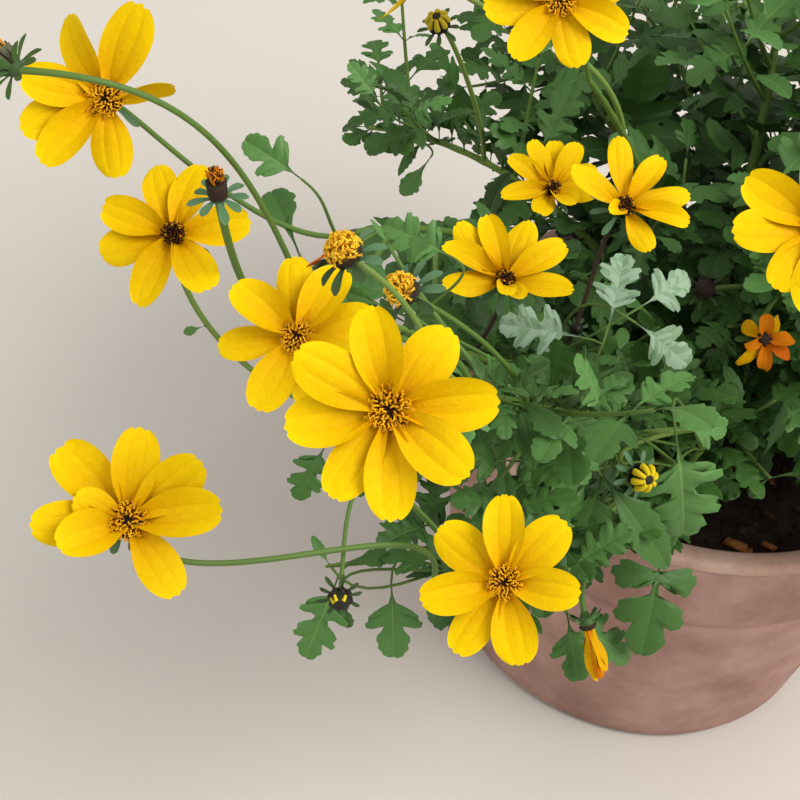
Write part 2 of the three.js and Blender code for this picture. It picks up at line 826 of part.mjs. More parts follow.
// The pot's inside radius at a height
function innerRadius(z) {
  const low = footRadius - wall;
  return low + ((rimRadius - wall - low) * z) / potHeight;
}

function compostShape() {
  const bottom = floorThickness + gap;
  const edge = compostTop - 3;
  return solid(turned([
    [0, bottom], [innerRadius(bottom) - gap, bottom], [innerRadius(edge) - gap, edge],
    [rimRadius * 0.5, compostTop - 1], [crownFlare * 1.8, compostTop], [0, compostTop],
  ], potSegments));
}

// The crown flares where it enters the compost and ends in a blunt top that the stems spring from
function crownShape(extra) {
  const side = crownProfile.map(([radius, height]) => [radius + extra, height]);
  const [foot, top] = [side[0], side[side.length - 1]];
  foot[1] -= extra;
  top[1] += extra;
  return solid(turned([[0, foot[1]], ...side, [0, top[1]]], crownSegments));
}

const plant = new THREE.Group();
plant.add(named("pot", potShape(), terracotta));
plant.add(named("compost", compostShape(), earth));
plant.add(named("crown", crownShape(0), bark));

const crownRoom = crownShape(gap);
stems.forEach((stem) => {
  if (!stem.bare) {
    const bough = limb(stem.bough, stemFootRadius, stemJointRadius, boughSides, boughSteps);
    plant.add(named(`${stem.name}_stem`, mainPiece(bough.subtract(crownRoom)), stemGreen));
  }
  plant.add(named(`${stem.name}_spray`, growSpray(stem), leafGreen));
});

export default plant;
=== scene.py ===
# The looks of a potted bidens: pot, compost, crown, stems, leaves, flowers, buds and seed heads.
# Plant sizes are in millimetres and are turned to metres where a mesh is made.
import math

import bpy
import numpy as np
from mathutils import Matrix, Vector, kdtree, noise


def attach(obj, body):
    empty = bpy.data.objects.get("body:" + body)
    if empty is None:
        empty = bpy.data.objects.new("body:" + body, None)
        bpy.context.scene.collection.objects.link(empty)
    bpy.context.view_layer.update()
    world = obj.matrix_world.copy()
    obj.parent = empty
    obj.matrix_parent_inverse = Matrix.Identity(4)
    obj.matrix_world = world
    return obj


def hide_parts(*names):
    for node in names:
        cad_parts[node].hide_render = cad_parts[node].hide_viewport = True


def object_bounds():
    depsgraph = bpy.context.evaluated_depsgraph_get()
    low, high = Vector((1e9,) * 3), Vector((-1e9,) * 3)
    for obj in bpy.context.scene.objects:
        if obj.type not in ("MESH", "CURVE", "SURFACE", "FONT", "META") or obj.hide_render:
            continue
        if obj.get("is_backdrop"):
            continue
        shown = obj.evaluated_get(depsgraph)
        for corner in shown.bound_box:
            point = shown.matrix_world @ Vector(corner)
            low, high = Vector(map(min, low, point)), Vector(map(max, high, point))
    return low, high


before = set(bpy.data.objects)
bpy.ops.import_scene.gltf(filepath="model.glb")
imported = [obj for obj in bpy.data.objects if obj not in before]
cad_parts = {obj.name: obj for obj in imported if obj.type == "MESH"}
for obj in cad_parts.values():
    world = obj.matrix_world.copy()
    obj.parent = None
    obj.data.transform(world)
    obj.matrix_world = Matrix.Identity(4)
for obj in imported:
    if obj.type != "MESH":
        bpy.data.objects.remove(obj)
cad_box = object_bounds()

MM = 0.001
UP = Vector((0, 0, 1))
FULL_TURN = 2 * math.pi

# Where the photo was taken from; the focus and the picture's middle are in pixels
CAMERA_PLACE = Vector((-118, -510, 600))
CAMERA_DOWN = math.radians(45)
CAMERA_ROLL = math.radians(10.6)
LENS = 77
FOCUS = 1711
PICTURE_MIDDLE = 400

LEVEL_RIGHT = Vector((1, 0, 0))
CAMERA_WAY = Vector((0, math.cos(CAMERA_DOWN), -math.sin(CAMERA_DOWN)))
LEVEL_UP = LEVEL_RIGHT.cross(CAMERA_WAY)
CAMERA_RIGHT = LEVEL_RIGHT * math.cos(CAMERA_ROLL) + LEVEL_UP * math.sin(CAMERA_ROLL)
CAMERA_UP = LEVEL_UP * math.cos(CAMERA_ROLL) - LEVEL_RIGHT * math.sin(CAMERA_ROLL)

# Pot, compost and crown
POT_HEIGHT = 137
RIM_RADIUS = 100
FOOT_RADIUS = 83
WALL = 8
COMPOST_TOP = 120
CROWN_PROFILE = [(14, 120.3), (11.05, 124), (8.5, 130), (7.65, 150), (5.1, 154)]

# Stems
STEM_FOOT_OUT = 5
STEM_FOOT_RADIUS = 2.1
STEM_TIP_RADIUS = 0.9
STALK_RADIUS = 0.95
TWIG_RADIUS = 0.8
PETIOLE_RADIUS = 0.42

# Leaves and twigs
LEAF_LENGTH = 44
LEAF_AT_FOOT = 1.05
LEAF_TAPER = 0.6
LEAF_SMALLEST = 0.8
LEAF_VARIETY = 0.35
NODE_SPACING = 13
FINER = 2
TWIG_LENGTH = 52
CROWDING = 0.12
LIMB_CLEARANCE = 2.2
OWN_LEAD = 14
POT_CLEARANCE = 2.5
BOX_MARGIN = 1.5


def chance(spray, item, channel):
    """A number from 0 to 1 that depends only on what it is asked for."""
    wave = math.sin(spray * 12.9898 + item * 78.233 + channel * 37.719) * 43758.5453
    return wave - math.floor(wave)


def between(low, high, share):
    return low + (high - low) * share


def head(kind, at, spot, face, across, **more):
    return dict(kind=kind, at=at, place=Vector(spot), face=Vector(face), across=across, **more)


def flower(at, spot, face, across, petals, **more):
    return head("flower", at, spot, face, across, petals=petals, **more)


def leaf(at, spot, reach, form, **more):
    """A leaf that shows, from its foot to its tip."""
    return head("leaf", at, spot, reach, Vector(reach).length, form=form, **more)


def stem(name, foot, knee, tip, leafy, heads):
    return dict(name=name, foot=foot, knee=Vector(knee), tip=Vector(tip), leafy=leafy, heads=heads)


# The stems whose flowers show, in the frame's own order. A petal's angle is in degrees round the
# flower from the right, as the photo shows it; after it come its length, its lift and its roll,
# where they differ. Where a stalk leaves and comes in is given for the stalks that show.
NAMED_STEMS = [
    stem("left_high", 144, (-95, -50, 245), (-146, -112, 266), 0.6, [
        flower(1, (-208.5, -147, 327), (0.05, -0.75, 0.66), 46,
               [(166, 1.02, 0.2), (106, 1.02, 0.25, -0.5), (66, 1.24, 0.35), (45, 0.87, 0.4, 1.2), (277, 0.9),
                (226, 1.06, 0.1), (199, 1.08)],
               leave=(-21, -29, 16), come=(2, 25, -20), girth=0.8),
        flower(0.7, (-188, -150, 287), (-0.1, -0.5, 0.86), 45, [191, 159, 105, 66, 8, 302, 243], dark=True,
               leave=(25, -95, -46), come=(0, -5, -42), girth=0.9),
        head("seed", 0.85, (-173, -175, 327), (-0.15, -0.1, 1), 22, form="column", leave=(-16, -88, -6),
             come=(1, 34, -61)),
        leaf(1, (-158, -116, 288), (-18, 3, 9), "three"),
        leaf(0.8, (-155, -131, 273), (-13, 21, 7), "spoon"),
        leaf(0.8, (-177.3, -153.2, 258.2), (-4.8, -4.8, 0.8), "spoon", on=(1, 0.78)),
    ]),
    stem("left_arch", 142, (-72, -125, 228), (-148, -156, 276), 0.6, [
        head("seed", 1, (-222.7, -185, 360.5), (-0.88, 0.3, 0.26), 22, form="arched",
             leave=(-22.6, 2.6, 50.3), come=(41.2, -2.8, 8.4), girth=0.82, ragged=0.8),
        flower(0.7, (-148, -178, 284), (-0.1, -0.55, 0.83), 45, [185, 142, 92, 54, 12, 325, 285, 241]),
        leaf(0.8, (-135, -201, 270), (-5, -11, -13), "five"),
        leaf(0.8, (-110, -135, 285), (-22, 5, 5), "five"),
    ]),
    stem("front_high", 147, (-50, -150, 235), (-100, -188, 288), 1, [
        flower(1, (-119.7, -258.6, 345.2), (0, -0.72, 0.69), 46,
               [(5, 1.04), (53, 0.97, 0.12), 101, (149, 1.08, 0.3), 189, 236, (271, 1.02), (320, 1, 0.3)]),
        head("seed", 0.9, (-137, -216.5, 350.5), (-0.5, -0.15, 0.86), 20, leave=(-25.7, -25.5, 24.9),
             come=(27.1, 2.5, -15.3), petal=195, girth=0.75),
        head("seed", 0.75, (-123, -195, 323), (-0.65, -0.35, 0.6), 20, girth=0.7),
        leaf(0.6, (-126, -163, 287), (-12, 2, 2), "spoon"),
    ]),
    stem("left_low", 130, (-30, -150, 205), (-100, -215, 240), 1, [
        flower(1, (-175.5, -254, 288), (0.1, -0.55, 0.83), 46,
               [(82, 1, 0.3), (37, 1, 0.15), (5, 1.02, 0.35), (304, 0.96), (203, 0.85, 0.4), 184, (134, 1.05),
                (160, 0.62, 0.5)],
               leave=(0, -4, 44), come=(10, 1, -39), girth=0.8, bracts=0.6),
        flower(0.6, (-84, -235.6, 269.4), (-0.05, -0.75, 0.66), 44,
               [90, 45, (354, 0.95, 0.4), 281, 235, 190, 141]),
        head("bud", 0.9, (-123.5, -243, 259), (0.08, -0.94, 0.33), 8, leave=(-43, 13, 40), come=(-3, 30, 2),
             ripe=0.2, girth=0.6, marks=(58, 118, 148)),
        leaf(0.9, (-126, -209, 225), (-4.5, -19, -14), "five"),
        leaf(0.9, (-124, -213, 222), (4, -6, -5), "spoon"),
        leaf(0.7, (-111, -205, 223), (5, -17, -12), "three"),
        leaf(0.8, (-126, -210, 233), (13, 2, 5), "spoon"),
        leaf(0.8, (-129, -210, 232), (-6, 5, 5), "lance"),
    ]),
    stem("front_low", 138, (6, -85, 215), (-42, -138, 178), 1, [
        head("wilted", 0.95, (-47, -171, 178), (0.44, -0.64, -0.64), 24),
        head("bud", 0.4, (-44, -163, 240), (0.53, -0.82, 0.6), 10, ripe=1),
        leaf(0.9, (-53, -163, 172), (8, -17, -12), "three"),
        leaf(0.9, (-53, -163, 172), (24, -8, -8), "five"),
        leaf(0.7, (-28, -153, 193), (1, -22, -22), "parted"),
        leaf(0.5, (-37, -155, 251), (15, -8, -38), "five"),
        leaf(0.5, (-55, -160, 234), (30, -10, -25), "lance"),
        leaf(0.5, (-53, -156, 241), (-5, 10, 6), "three"),
        leaf(0.4, (-82, -159, 236), (26, -2, 6), "lance"),
        leaf(0.4, (-36, -152, 251), (16, 7, -1), "three"),
        leaf(0.6, (-55, -159, 233), (-1, -12, -23), "three"),
        leaf(0.6, (-70, -163, 229), (-13, -6, -5), "three"),
    ]),
    stem("middle", 130, (-60, -70, 190), (-90, -106, 215), 0.9, [
        flower(1, (-93.7, -118.5, 265.5), (0.05, -0.3, 0.95), 42,
               [(188, 1, 0.15), (155, 1.08), (134, 1.1), (110, 1.08), (68, 1.15), (28, 1.08), (348, 1, 0.1),
                (262, 0.68, 0.9), (300, 0.55, 1)],
               dark=True, slim=0.85, leave=(-17, -15, 12), come=(3, 2, -20), tint="brown", girth=0.7),
        leaf(0.7, (-62, -133, 270), (2, 19, 13), "five", bleached=True),
        leaf(0.7, (-54, -132, 271), (18, -6, -6), "three", bleached=True),
        leaf(0.8, (-69, -130, 260), (-24, -3, 3), "five", bleached=True),
        leaf(0.7, (-53, -124, 271), (14, 12, 6), "three", bleached=True),
        flower(0.6, (-60.8, -83, 274), (0.15, -0.4, 0.9), 42,
               [(97, 1.15, 0.15), (52, 1.05), (9, 1.08, 0.2), (342, 1, -0.1), (302, 0.78), (216, 0.66, 0.9),
                (154, 1.13, 0.45)],
               dark=True, slim=0.8, leave=(8, -16, 29), come=(-4, 10, -24), tint="brown", girth=0.75),
        head("bud", 0.5, (-65.3, -90.2, 227.6), (0, -0.7, 0.7), 5, ripe=0),
    ]),
    stem("back_high", 150, (-45, -20, 245), (-78, -50, 296), 0.6, [
        flower(1, (-95, -90, 346), (0.1, -0.7, 0.7), 44, [186, 231, (286, 0.88), 334, 20, 66, 110, 150]),
        flower(0.7, (-131, -64.5, 335.5), (-0.3, -0.5, 0.8), 44,
               [(245, 1.15, 0.1, 0.9), (200, 0.8), (150, 0.9), 100, (50, 0.9), (5, 0.8), (315, 0.5, 0.8)]),
    ]),
    stem("left_back", 134, (-80, 20, 220), (-150, 28, 205), 1, [
        flower(0.3, (-79, -23, 230), (0.15, -0.3, 0.92), 39,
               [150, 118, (88, 1.05), (60, 1.1), (28, 1.05), (190, 1.05), (240, 0.9, 0.2), (300, 0.8, 0.6),
                (345, 0.9, 0.2)], dark=True, cup=0.12, slim=0.85, lit=True),
        leaf(0.8, (-146, 8, 232), (-12, 4, 12), "five"),
        leaf(0.85, (-123.4, 15.3, 206.1), (-7.8, -15.6, -7.2), "spoon"),
        head("bud", 0.62, (-128, -52, 308), (-0.27, -0.35, 0.88), 9, ripe=0.6, leave=(0, -9, 22),
             come=(0, 24, -8.5)),
        leaf(0.85, (-130.2, 27.7, 224.2), (-4.1, -20.6, -12.1), "five"),
    ]),
    stem("front_right_high", 149, (12, -45, 230), (-5, -105, 288), 0.8, [
        flower(1, (-21.5, -160.5, 337.5), (-0.1, -0.6, 0.78), 45,
               [(146, 1.05), (182, 1.02), (231, 0.87, 0.2), 262, 306, 350, 35, 90]),
        head("wilted", 0.3, (-4.5, -84.5, 233.5), (0.1, -0.8, 0.5), 24),
        head("bud", 0.3, (-24.2, -63.9, 232.9), (0, -0.7, 0.7), 10, ripe=0, dry=True),
    ]),
]

# The stems round the crown that the photo hides or cuts off
RINGS = [
    dict(name="rim", first=-47, step=30.4, count=7, reach=158, height=200, rise=38, foot=134, knee=0.5),
    dict(name="top", first=-25, step=62, count=3, reach=78, height=270, rise=6, foot=146, knee=0.5),
    dict(name="heart", first=-32, step=60, count=5, reach=68, height=160, rise=14, foot=127, knee=0.55),
]
UNEVENNESS = 26
HEIGHT_UNEVENNESS = 42


def around_crown(angle, radius, z):
    turn = math.radians(angle)
    return Vector((radius * math.cos(turn), radius * math.sin(turn), z))


def ring_stem(ring, i):
    """One of a ring's stems; the heart's stems bear no heads and differ only in height."""
    angle = ring["first"] + ring["step"] * i
    bare = ring["name"] == "heart"
    sway = 0 if bare else chance(ring["reach"], i, 1) - 0.5
    reach = ring["reach"] + UNEVENNESS * sway
    uneven = UNEVENNESS if bare else HEIGHT_UNEVENNESS
    height = ring["height"] + uneven * (chance(ring["reach"], i, 2) - 0.5)
    knee = around_crown(angle, reach * ring["knee"], height + ring["rise"])
    heads = []
    bud_next = i % 2 == 1 and not bare
    if not bare:
        top = around_crown(angle + 12 * sway, reach + 26, height + 62 + 30 * sway)
        second = around_crown(angle - 15, reach * 0.8, height + 52)
        face = Vector((top.x, top.y, 0)).normalized() * 0.55 + 0.83 * UP
        heads = [flower(1, top, face, 44, 8, dark=i % 3 == 1),
                 head("bud" if bud_next else "seed", 0.6, second, (0.1, 0, 1), 9 if bud_next else 18)]
    foot = ring["foot"] + (6 if bud_next else 0)
    return stem(f"{ring['name']}_{i + 1}", foot, knee, around_crown(angle, reach, height), 1, heads)


STEMS = NAMED_STEMS + [ring_stem(ring, i) for ring in RINGS for i in range(ring["count"])]


# Curves, frames and meshes


class Curve:
    """A smooth line through Bezier points."""

    def __init__(self, *points):
        self.points = [Vector(p) for p in points]

    def at(self, share):
        row = self.points
        while len(row) > 1:
            row = [a.lerp(b, share) for a, b in zip(row, row[1:])]
        return row[0]

    def way(self, share):
        step = 0.01
        return (self.at(min(1, share + step)) - self.at(max(0, share - step))).normalized()

    def spots(self, count):
        return [self.at(i / (count - 1)) for i in range(count)]

    def length(self):
        spots = self.spots(24)
        return sum((b - a).length for a, b in zip(spots, spots[1:]))


def square(direction):
    """Any direction square to another one."""
    helper = UP if abs(direction.z) < 0.9 else Vector((1, 0, 0))
    return direction.cross(helper).normalized()


def setting(forward, rise):
    """Rows forward, left and up of a shape that points forward with its face to rise."""
    x = forward.normalized()
    y = rise.cross(x)
    y = y.normalized() if y.length > 1e-6 else square(x)
    return np.array([x, y, x.cross(y)])


def frame_of(axis):
    """Two ways square to an axis and to each other, and the axis."""
    axis = axis.normalized()
    right = (CAMERA_RIGHT - axis * CAMERA_RIGHT.dot(axis)).normalized()
    return right, axis.cross(right), axis


def spoke(right, over, turn):
    """The way that is turned from right towards over."""
    return right * math.cos(turn) + over * math.sin(turn)


class Cluster:
    """Points and faces that end as one mesh. Each face has its finish's number."""

    def __init__(self):
        self.points, self.blocks, self.count = [], [], 0

    def add(self, points, quads, finish=0, triangles=()):
        """Finish is one number for all faces, or one for each quad."""
        for faces in (triangles, quads):
            if len(faces):
                self.blocks.append((np.array(faces) + self.count, np.broadcast_to(finish, len(faces))))
        self.points.append(np.asarray(points, float))
        self.count += len(points)

    def object(self, name, finishes, slot, nodes):
        blocks = sorted(self.blocks, key=lambda block: block[0].shape[1])
        mesh = bpy.data.meshes.new(name)
        rows = [row for faces, _ in blocks for row in faces.tolist()]
        mesh.from_pydata(np.concatenate(self.points) * MM, [], rows)
        mesh.polygons.foreach_set("material_index", np.concatenate([numbers for _, numbers in blocks]))
        mesh.shade_smooth()
        for material in finishes:
            mesh.materials.append(material)
        piece = bpy.data.objects.new(name, mesh)
        bpy.context.scene.collection.objects.link(piece)
        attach(piece, "root")
        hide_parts(*nodes)


def grid_faces(rows, columns, closed=False):
    """Quads between rows of points; a closed row's last point joins its first."""
    quads = []
    for r in range(rows - 1):
        for c in range(columns if closed else columns - 1):
            n = (c + 1) % columns
            quads.append((r * columns + c, r * columns + n, (r + 1) * columns + n, (r + 1) * columns + c))
    return np.array(quads)


def tip_faces(rows, sides):
    """Triangles from the last of the rows to the point that follows it."""
    last = (rows - 1) * sides
    return [(last + k, last + (k + 1) % sides, last + sides) for k in range(sides)]


def tube(cluster, spots, radius, finish=0, sides=8, ridges=0.0, capped=True):
    """A round limb through spots, with a radius at each, and lengthwise ridges."""
    count = len(spots)
    side, points = None, []
    for i, spot in enumerate(spots):
        way = (spots[min(i + 1, count - 1)] - spots[max(i - 1, 0)]).normalized()
        side = square(way) if side is None else (side - way * side.dot(way)).normalized()
        over = way.cross(side)
        reach = radius(i / (count - 1))
        points += [spot + reach * (1 + ridges * (k % 2)) * spoke(side, over, FULL_TURN * k / sides)
                   for k in range(sides)]
    tips = tip_faces(count, sides) if capped else ()
    cluster.add(points + [spots[-1]] * capped, grid_faces(count, sides, True), finish, tips)


def turned(cluster, spot, axis, profile, sides, finish, ridges=0.0, tip=None):
    """A shape round an axis from pairs of radius and level, open or closed by a tip."""
    right, over, axis = frame_of(axis)
    ways = [spoke(right, over, FULL_TURN * k / sides) for k in range(sides)]
    points = [spot + way * radius * (1 + ridges * (k % 2)) + axis * level
              for radius, level in profile for k, way in enumerate(ways)]
    tips = ()
    if tip is not None:
        points.append(spot + axis * tip)
        tips = tip_faces(len(profile), sides)
    cluster.add(points, grid_faces(len(profile), sides, True), finish, tips)


def dome(cluster, spot, axis, radius, height, finish, sides=14, rings=5):
    turns = [math.pi / 2 * r / rings for r in range(rings)]
    profile = [(radius * math.cos(turn), height * math.sin(turn)) for turn in turns]
    turned(cluster, spot, axis, profile, sides, finish, tip=height)


def lathe(cluster, profile, sides, wobble, finish=0):
    """A shape round the upright axis; wobble changes a radius."""
    points = []
    for radius, z in profile:
        for k in range(sides):
            turn = FULL_TURN * k / sides
            reach = wobble(radius, z, turn)
            points.append((reach * math.cos(turn), reach * math.sin(turn), z))
    cluster.add(points, grid_faces(len(profile), sides, True), finish)


# Finishes


def tone(red, green, blue):
    """A screen colour as a base colour."""
    parts = [c / 255 for c in (red, green, blue)]
    return (*[c / 12.92 if c <= 0.04045 else ((c + 0.055) / 1.055) ** 2.4 for c in parts], 1)


def grained(name, roughness, specular, grain, scale, detail, depth):
    """A material with a fine noise raised on it, with its shader and its coordinates."""
    material = bpy.data.materials.new(name)
    material.use_nodes = True
    nodes, links = material.node_tree.nodes, material.node_tree.links
    shader = nodes["Principled BSDF"]
    shader.inputs["Roughness"].default_value = roughness
    shader.inputs["Specular IOR Level"].default_value = specular
    where = nodes.new("ShaderNodeTexCoord").outputs["Object"]
    fine = nodes.new("ShaderNodeTexNoise")
    fine.inputs["Scale"].default_value = scale
    fine.inputs["Detail"].default_value = detail
    bump = nodes.new("ShaderNodeBump")
    bump.inputs["Strength"].default_value = grain
    bump.inputs["Distance"].default_value = depth
    links.new(where, fine.inputs["Vector"])
    links.new(fine.outputs["Fac"], bump.inputs["Height"])
    links.new(bump.outputs["Normal"], shader.inputs["Normal"])
    return material, shader, where


def finish(name, colour, roughness, grain, scale, specular=0.3):
    """A plain finish."""
    material, shader, _ = grained(name, roughness, specular, grain, scale, 3, 0.0004)
    shader.inputs["Base Color"].default_value = tone(*colour)
    return material


def mottled(name, light, dark, roughness, scale, grain, depth):
    """A finish that shades between two colours in soft patches."""
    material, shader, where = grained(name, roughness, 0.25, grain, scale * 16, 4, depth)
    nodes, links = material.node_tree.nodes, material.node_tree.links
    patches = nodes.new("ShaderNodeTexNoise")
    patches.inputs["Scale"].default_value = scale
    patches.inputs["Detail"].default_value = 6
    patches.inputs["Roughness"].default_value = 0.62
    ramp = nodes.new("ShaderNodeValToRGB")
    for stop, position, colour in zip(ramp.color_ramp.elements, (0.34, 0.68), (dark, light)):
        stop.position = position
        stop.color = tone(*colour)
    links.new(where, patches.inputs["Vector"])
    links.new(patches.outputs["Fac"], ramp.inputs["Fac"])
    links.new(ramp.outputs["Color"], shader.inputs["Base Color"])
    return material


PETAL_GRADES = 8
PETAL_FINISHES = [
    finish(f"petal_{i}", (between(198, 224, i / 7), between(130, 188, (i / 7) ** 0.75), 0), 0.6, 0.3, 1200,
           0.06)
    for i in range(PETAL_GRADES)
] + [
    finish("petal_wilted", (206, 118, 6), 0.7, 0.4, 700, 0.1),
    finish("petal_withered", (200, 98, 12), 0.75, 0.4, 700, 0.1),
    finish("bud_yellow", (208, 184, 26), 0.6, 0.3, 900, 0.15),
    finish("bud_olive", (168, 148, 28), 0.6, 0.3, 900, 0.15),
]
WILTED, WITHERED, BUD_YELLOW, BUD_OLIVE = range(PETAL_GRADES, len(PETAL_FINISHES))
FLORET_FINISHES = [
    finish("disc_dark", (40, 22, 8), 0.8, 0.5, 900, 0.2),
    finish("floret_brown", (92, 50, 12), 0.7, 0.3, 900, 0.2),
    finish("floret_orange", (196, 118, 6), 0.6, 0.3, 900, 0.15),
    finish("floret_yellow", (228, 166, 12), 0.6, 0.3, 900, 0.15),
    finish("floret_gold", (206, 150, 22), 0.65, 0.3, 900, 0.15),
    finish("floret_pale", (232, 186, 44), 0.65, 0.3, 900, 0.15),
    finish("head_olive", (112, 84, 20), 0.75, 0.4, 900, 0.15),
]
DARK, BROWN, ORANGE, YELLOW, GOLD, PALE, OLIVE = range(len(FLORET_FINISHES))
CALYX_FINISHES = [
    finish("bract_blue_green", (78, 112, 76), 0.6, 0.3, 600),
    finish("bract_green", (60, 92, 42), 0.6, 0.3, 600),
    finish("bract_dark", (52, 76, 38), 0.65, 0.3, 600),
    finish("head_brown", (46, 31, 20), 0.75, 0.5, 700),
    finish("bud_dark", (26, 26, 14), 0.6, 0.4, 700),
    finish("head_grey", (98, 98, 74), 0.75, 0.5, 700),
]
BLUE_GREEN, GREEN, DARK_GREEN, HEAD_BROWN, BUD_DARK, HEAD_GREY = range(len(CALYX_FINISHES))
# Greens from dark to pale; leaf_on deals them partly at random and partly by height, as painted light and
# shade.
LEAF_FINISHES = [
    finish("leaf_dark", (38, 68, 24), 0.55, 0.6, 450),
    finish("leaf_deep", (48, 82, 30), 0.55, 0.6, 450),
    finish("leaf_green", (60, 98, 40), 0.52, 0.6, 450),
    finish("leaf_light", (76, 118, 56), 0.5, 0.6, 450),
    finish("leaf_pale", (98, 142, 80), 0.5, 0.6, 450),
    finish("leaf_bleached", (134, 158, 132), 0.55, 0.35, 350),
    finish("rib_dark", (74, 104, 48), 0.55, 0.3, 350),
    finish("rib_light", (104, 138, 70), 0.55, 0.3, 350),
    finish("leaf_greyed", (110, 140, 106), 0.55, 0.5, 450),
]
LEAF_GREEN, BLEACHED, RIB_DARK, RIB_LIGHT, GREYED = 2, 5, 6, 7, 8
STALK_FINISHES = [
    finish("stalk_green", (82, 110, 44), 0.55, 0.35, 500),
    finish("stalk_light", (104, 130, 56), 0.55, 0.35, 500),
    finish("stalk_brown", (62, 46, 34), 0.6, 0.35, 500),
]
BROWN_STALK = 2


# The photo's view


def seen(spot):
    """Where a spot is in the picture, from its left and its top, and how far away it is."""
    away = spot - CAMERA_PLACE
    deep = away.dot(CAMERA_WAY)
    across = FOCUS * away.dot(CAMERA_RIGHT) / deep
    return PICTURE_MIDDLE + across, PICTURE_MIDDLE - FOCUS * away.dot(CAMERA_UP) / deep, deep


def seen_at(angle, spot, face):
    """The way in a flower's plane that is seen at an angle from the right."""
    view = (spot - CAMERA_PLACE).normalized()
    flat = spoke(CAMERA_RIGHT, CAMERA_UP, math.radians(angle))
    return (flat - view * (flat.dot(face) / view.dot(face))).normalized()


# Flowers

PETALS, FLORETS, HEAD_FLORETS, BRACTS, STALKS, TWIGS, BOUGHS = [Cluster() for _ in range(7)]
NAMED_LEAVES, RIM_LEAVES, TOP_LEAVES = [Cluster() for _ in range(3)]
PETAL_ROWS = 22
PETAL_STEPS = 1 - (1 - np.linspace(0, 1, PETAL_ROWS)) ** 1.4
WIDENS_AT = [0, 0.08, 0.18, 0.3, 0.42, 0.52, 0.6, 1]
WIDENS_TO = [0.2, 0.3, 0.5, 0.74, 0.9, 0.975, 1, 1]
TIP_AT = 0.58
TIP_HALF = 0.5
TIP_POWER = 2.15
HALF_COLUMNS = [0.022, 0.12, 0.23, 0.305, 0.355, 0.46, 0.58, 0.7, 0.82, 0.92, 1.0]
PETAL_COLUMNS = np.array([-s for s in reversed(HALF_COLUMNS)] + HALF_COLUMNS)
PETAL_QUADS = grid_faces(PETAL_ROWS, len(PETAL_COLUMNS))
CREASE = 0.33
GOLDEN_TURN = 2.39996


def tip_reach(half):
    """How far along a petal its round end is, at a share of its half-width."""
    return TIP_AT + (1 - TIP_AT) * (1 - half ** TIP_POWER) ** (1 / TIP_POWER)


def bent(bend, lengths):
    """Spots along and above for steps of these lengths that each point at an angle."""
    steps = [part(bend[1:, 0]) * lengths for part in (np.cos, np.sin)]
    return [np.concatenate([[0], np.cumsum(step)])[:, None] for step in steps]


def petal_points(length, width, key, lift, sag, twist, curl):
    """A petal that points along x with its face to z."""
    t = PETAL_STEPS[:, None]
    s = PETAL_COLUMNS[None, :]
    into_tip = np.clip((t * tip_reach(TIP_HALF) - TIP_AT) / (1 - TIP_AT), 0, 1)
    half = width / 2 * np.interp(t, WIDENS_AT, WIDENS_TO) * (1 - into_tip ** TIP_POWER) ** (1 / TIP_POWER)
    notch = 0.03 * np.exp(-((np.abs(s) - 0.42) / 0.16) ** 2)
    notch = notch + 0.016 * np.exp(-((s - 0.15 * (key % 3 - 1)) / 0.12) ** 2)
    x = length * (t * tip_reach(TIP_HALF * np.abs(s)) - notch * t ** 14)
    y = half * s
    ripple = math.sin(key * 1.7)
    cupping = 0.09 * math.sin(key * 2.9) + 0.02
    crease = np.exp(-((np.abs(s) - CREASE) / 0.11) ** 2) * np.sin(math.pi * np.clip(t * 1.02, 0, 1)) ** 0.6
    z = length * (cupping * s ** 2 * np.sin(math.pi * t * 0.9) + 0.03 * ripple * s * np.sin(4 * t + key))
    z = z + length * 0.16 * (1 - t) ** 2 * s ** 2 - length * 0.011 * crease
    z = z + length * 0.026 * np.abs(s) ** 3 * np.sin(8 * t + 2.3 * key) * t
    z = z + length * 0.004 * np.cos(30 * s) * np.sin(math.pi * t)
    turn = twist * t
    y, z = y * np.cos(turn) - z * np.sin(turn), y * np.sin(turn) + z * np.cos(turn)
    bend = lift - sag * t - curl * t ** 4
    along, above = bent(bend, length * np.diff(PETAL_STEPS))
    extra = x - length * t
    px = along + extra * np.cos(bend) - z * np.sin(bend)
    pz = above + extra * np.sin(bend) + z * np.cos(bend)
    return np.stack([px, y, pz], axis=2).reshape(-1, 3)


def petal_grades(key):
    """Which finish each quad has: lighter to the tip, deeper at the foot and on the middle vein, with painted
    shade in strips along the creases.
    """
    t = ((PETAL_STEPS[1:] + PETAL_STEPS[:-1]) / 2)[:, None]
    middle = (PETAL_COLUMNS[1:] + PETAL_COLUMNS[:-1]) / 2
    s = np.abs(middle)[None, :]
    grade = 1 + 6.4 * t ** 0.75 + 0.4 * s ** 2 + 0.25 * np.sin(7 * middle + key)
    # The strips along the creases take darker grades: painted shade in the creases.
    grade = grade - 1.3 * (np.abs(s - CREASE) < 0.03) * (t < 0.85) - 1 * (s < 0.02) * (t < 0.7)
    return np.clip(grade, 0, PETAL_GRADES - 1).astype(int).ravel()


def add_petal(spot, out, axis, length, width, key, lift, sag, twist, curl, number=None, rolled=0):
    rows = setting(out, Matrix.Rotation(rolled, 3, out) @ axis if rolled else axis)
    points = petal_points(length, width, key, lift, sag, twist, curl) @ rows + np.array(spot)
    PETALS.add(points, PETAL_QUADS, petal_grades(key) if number is None else number)


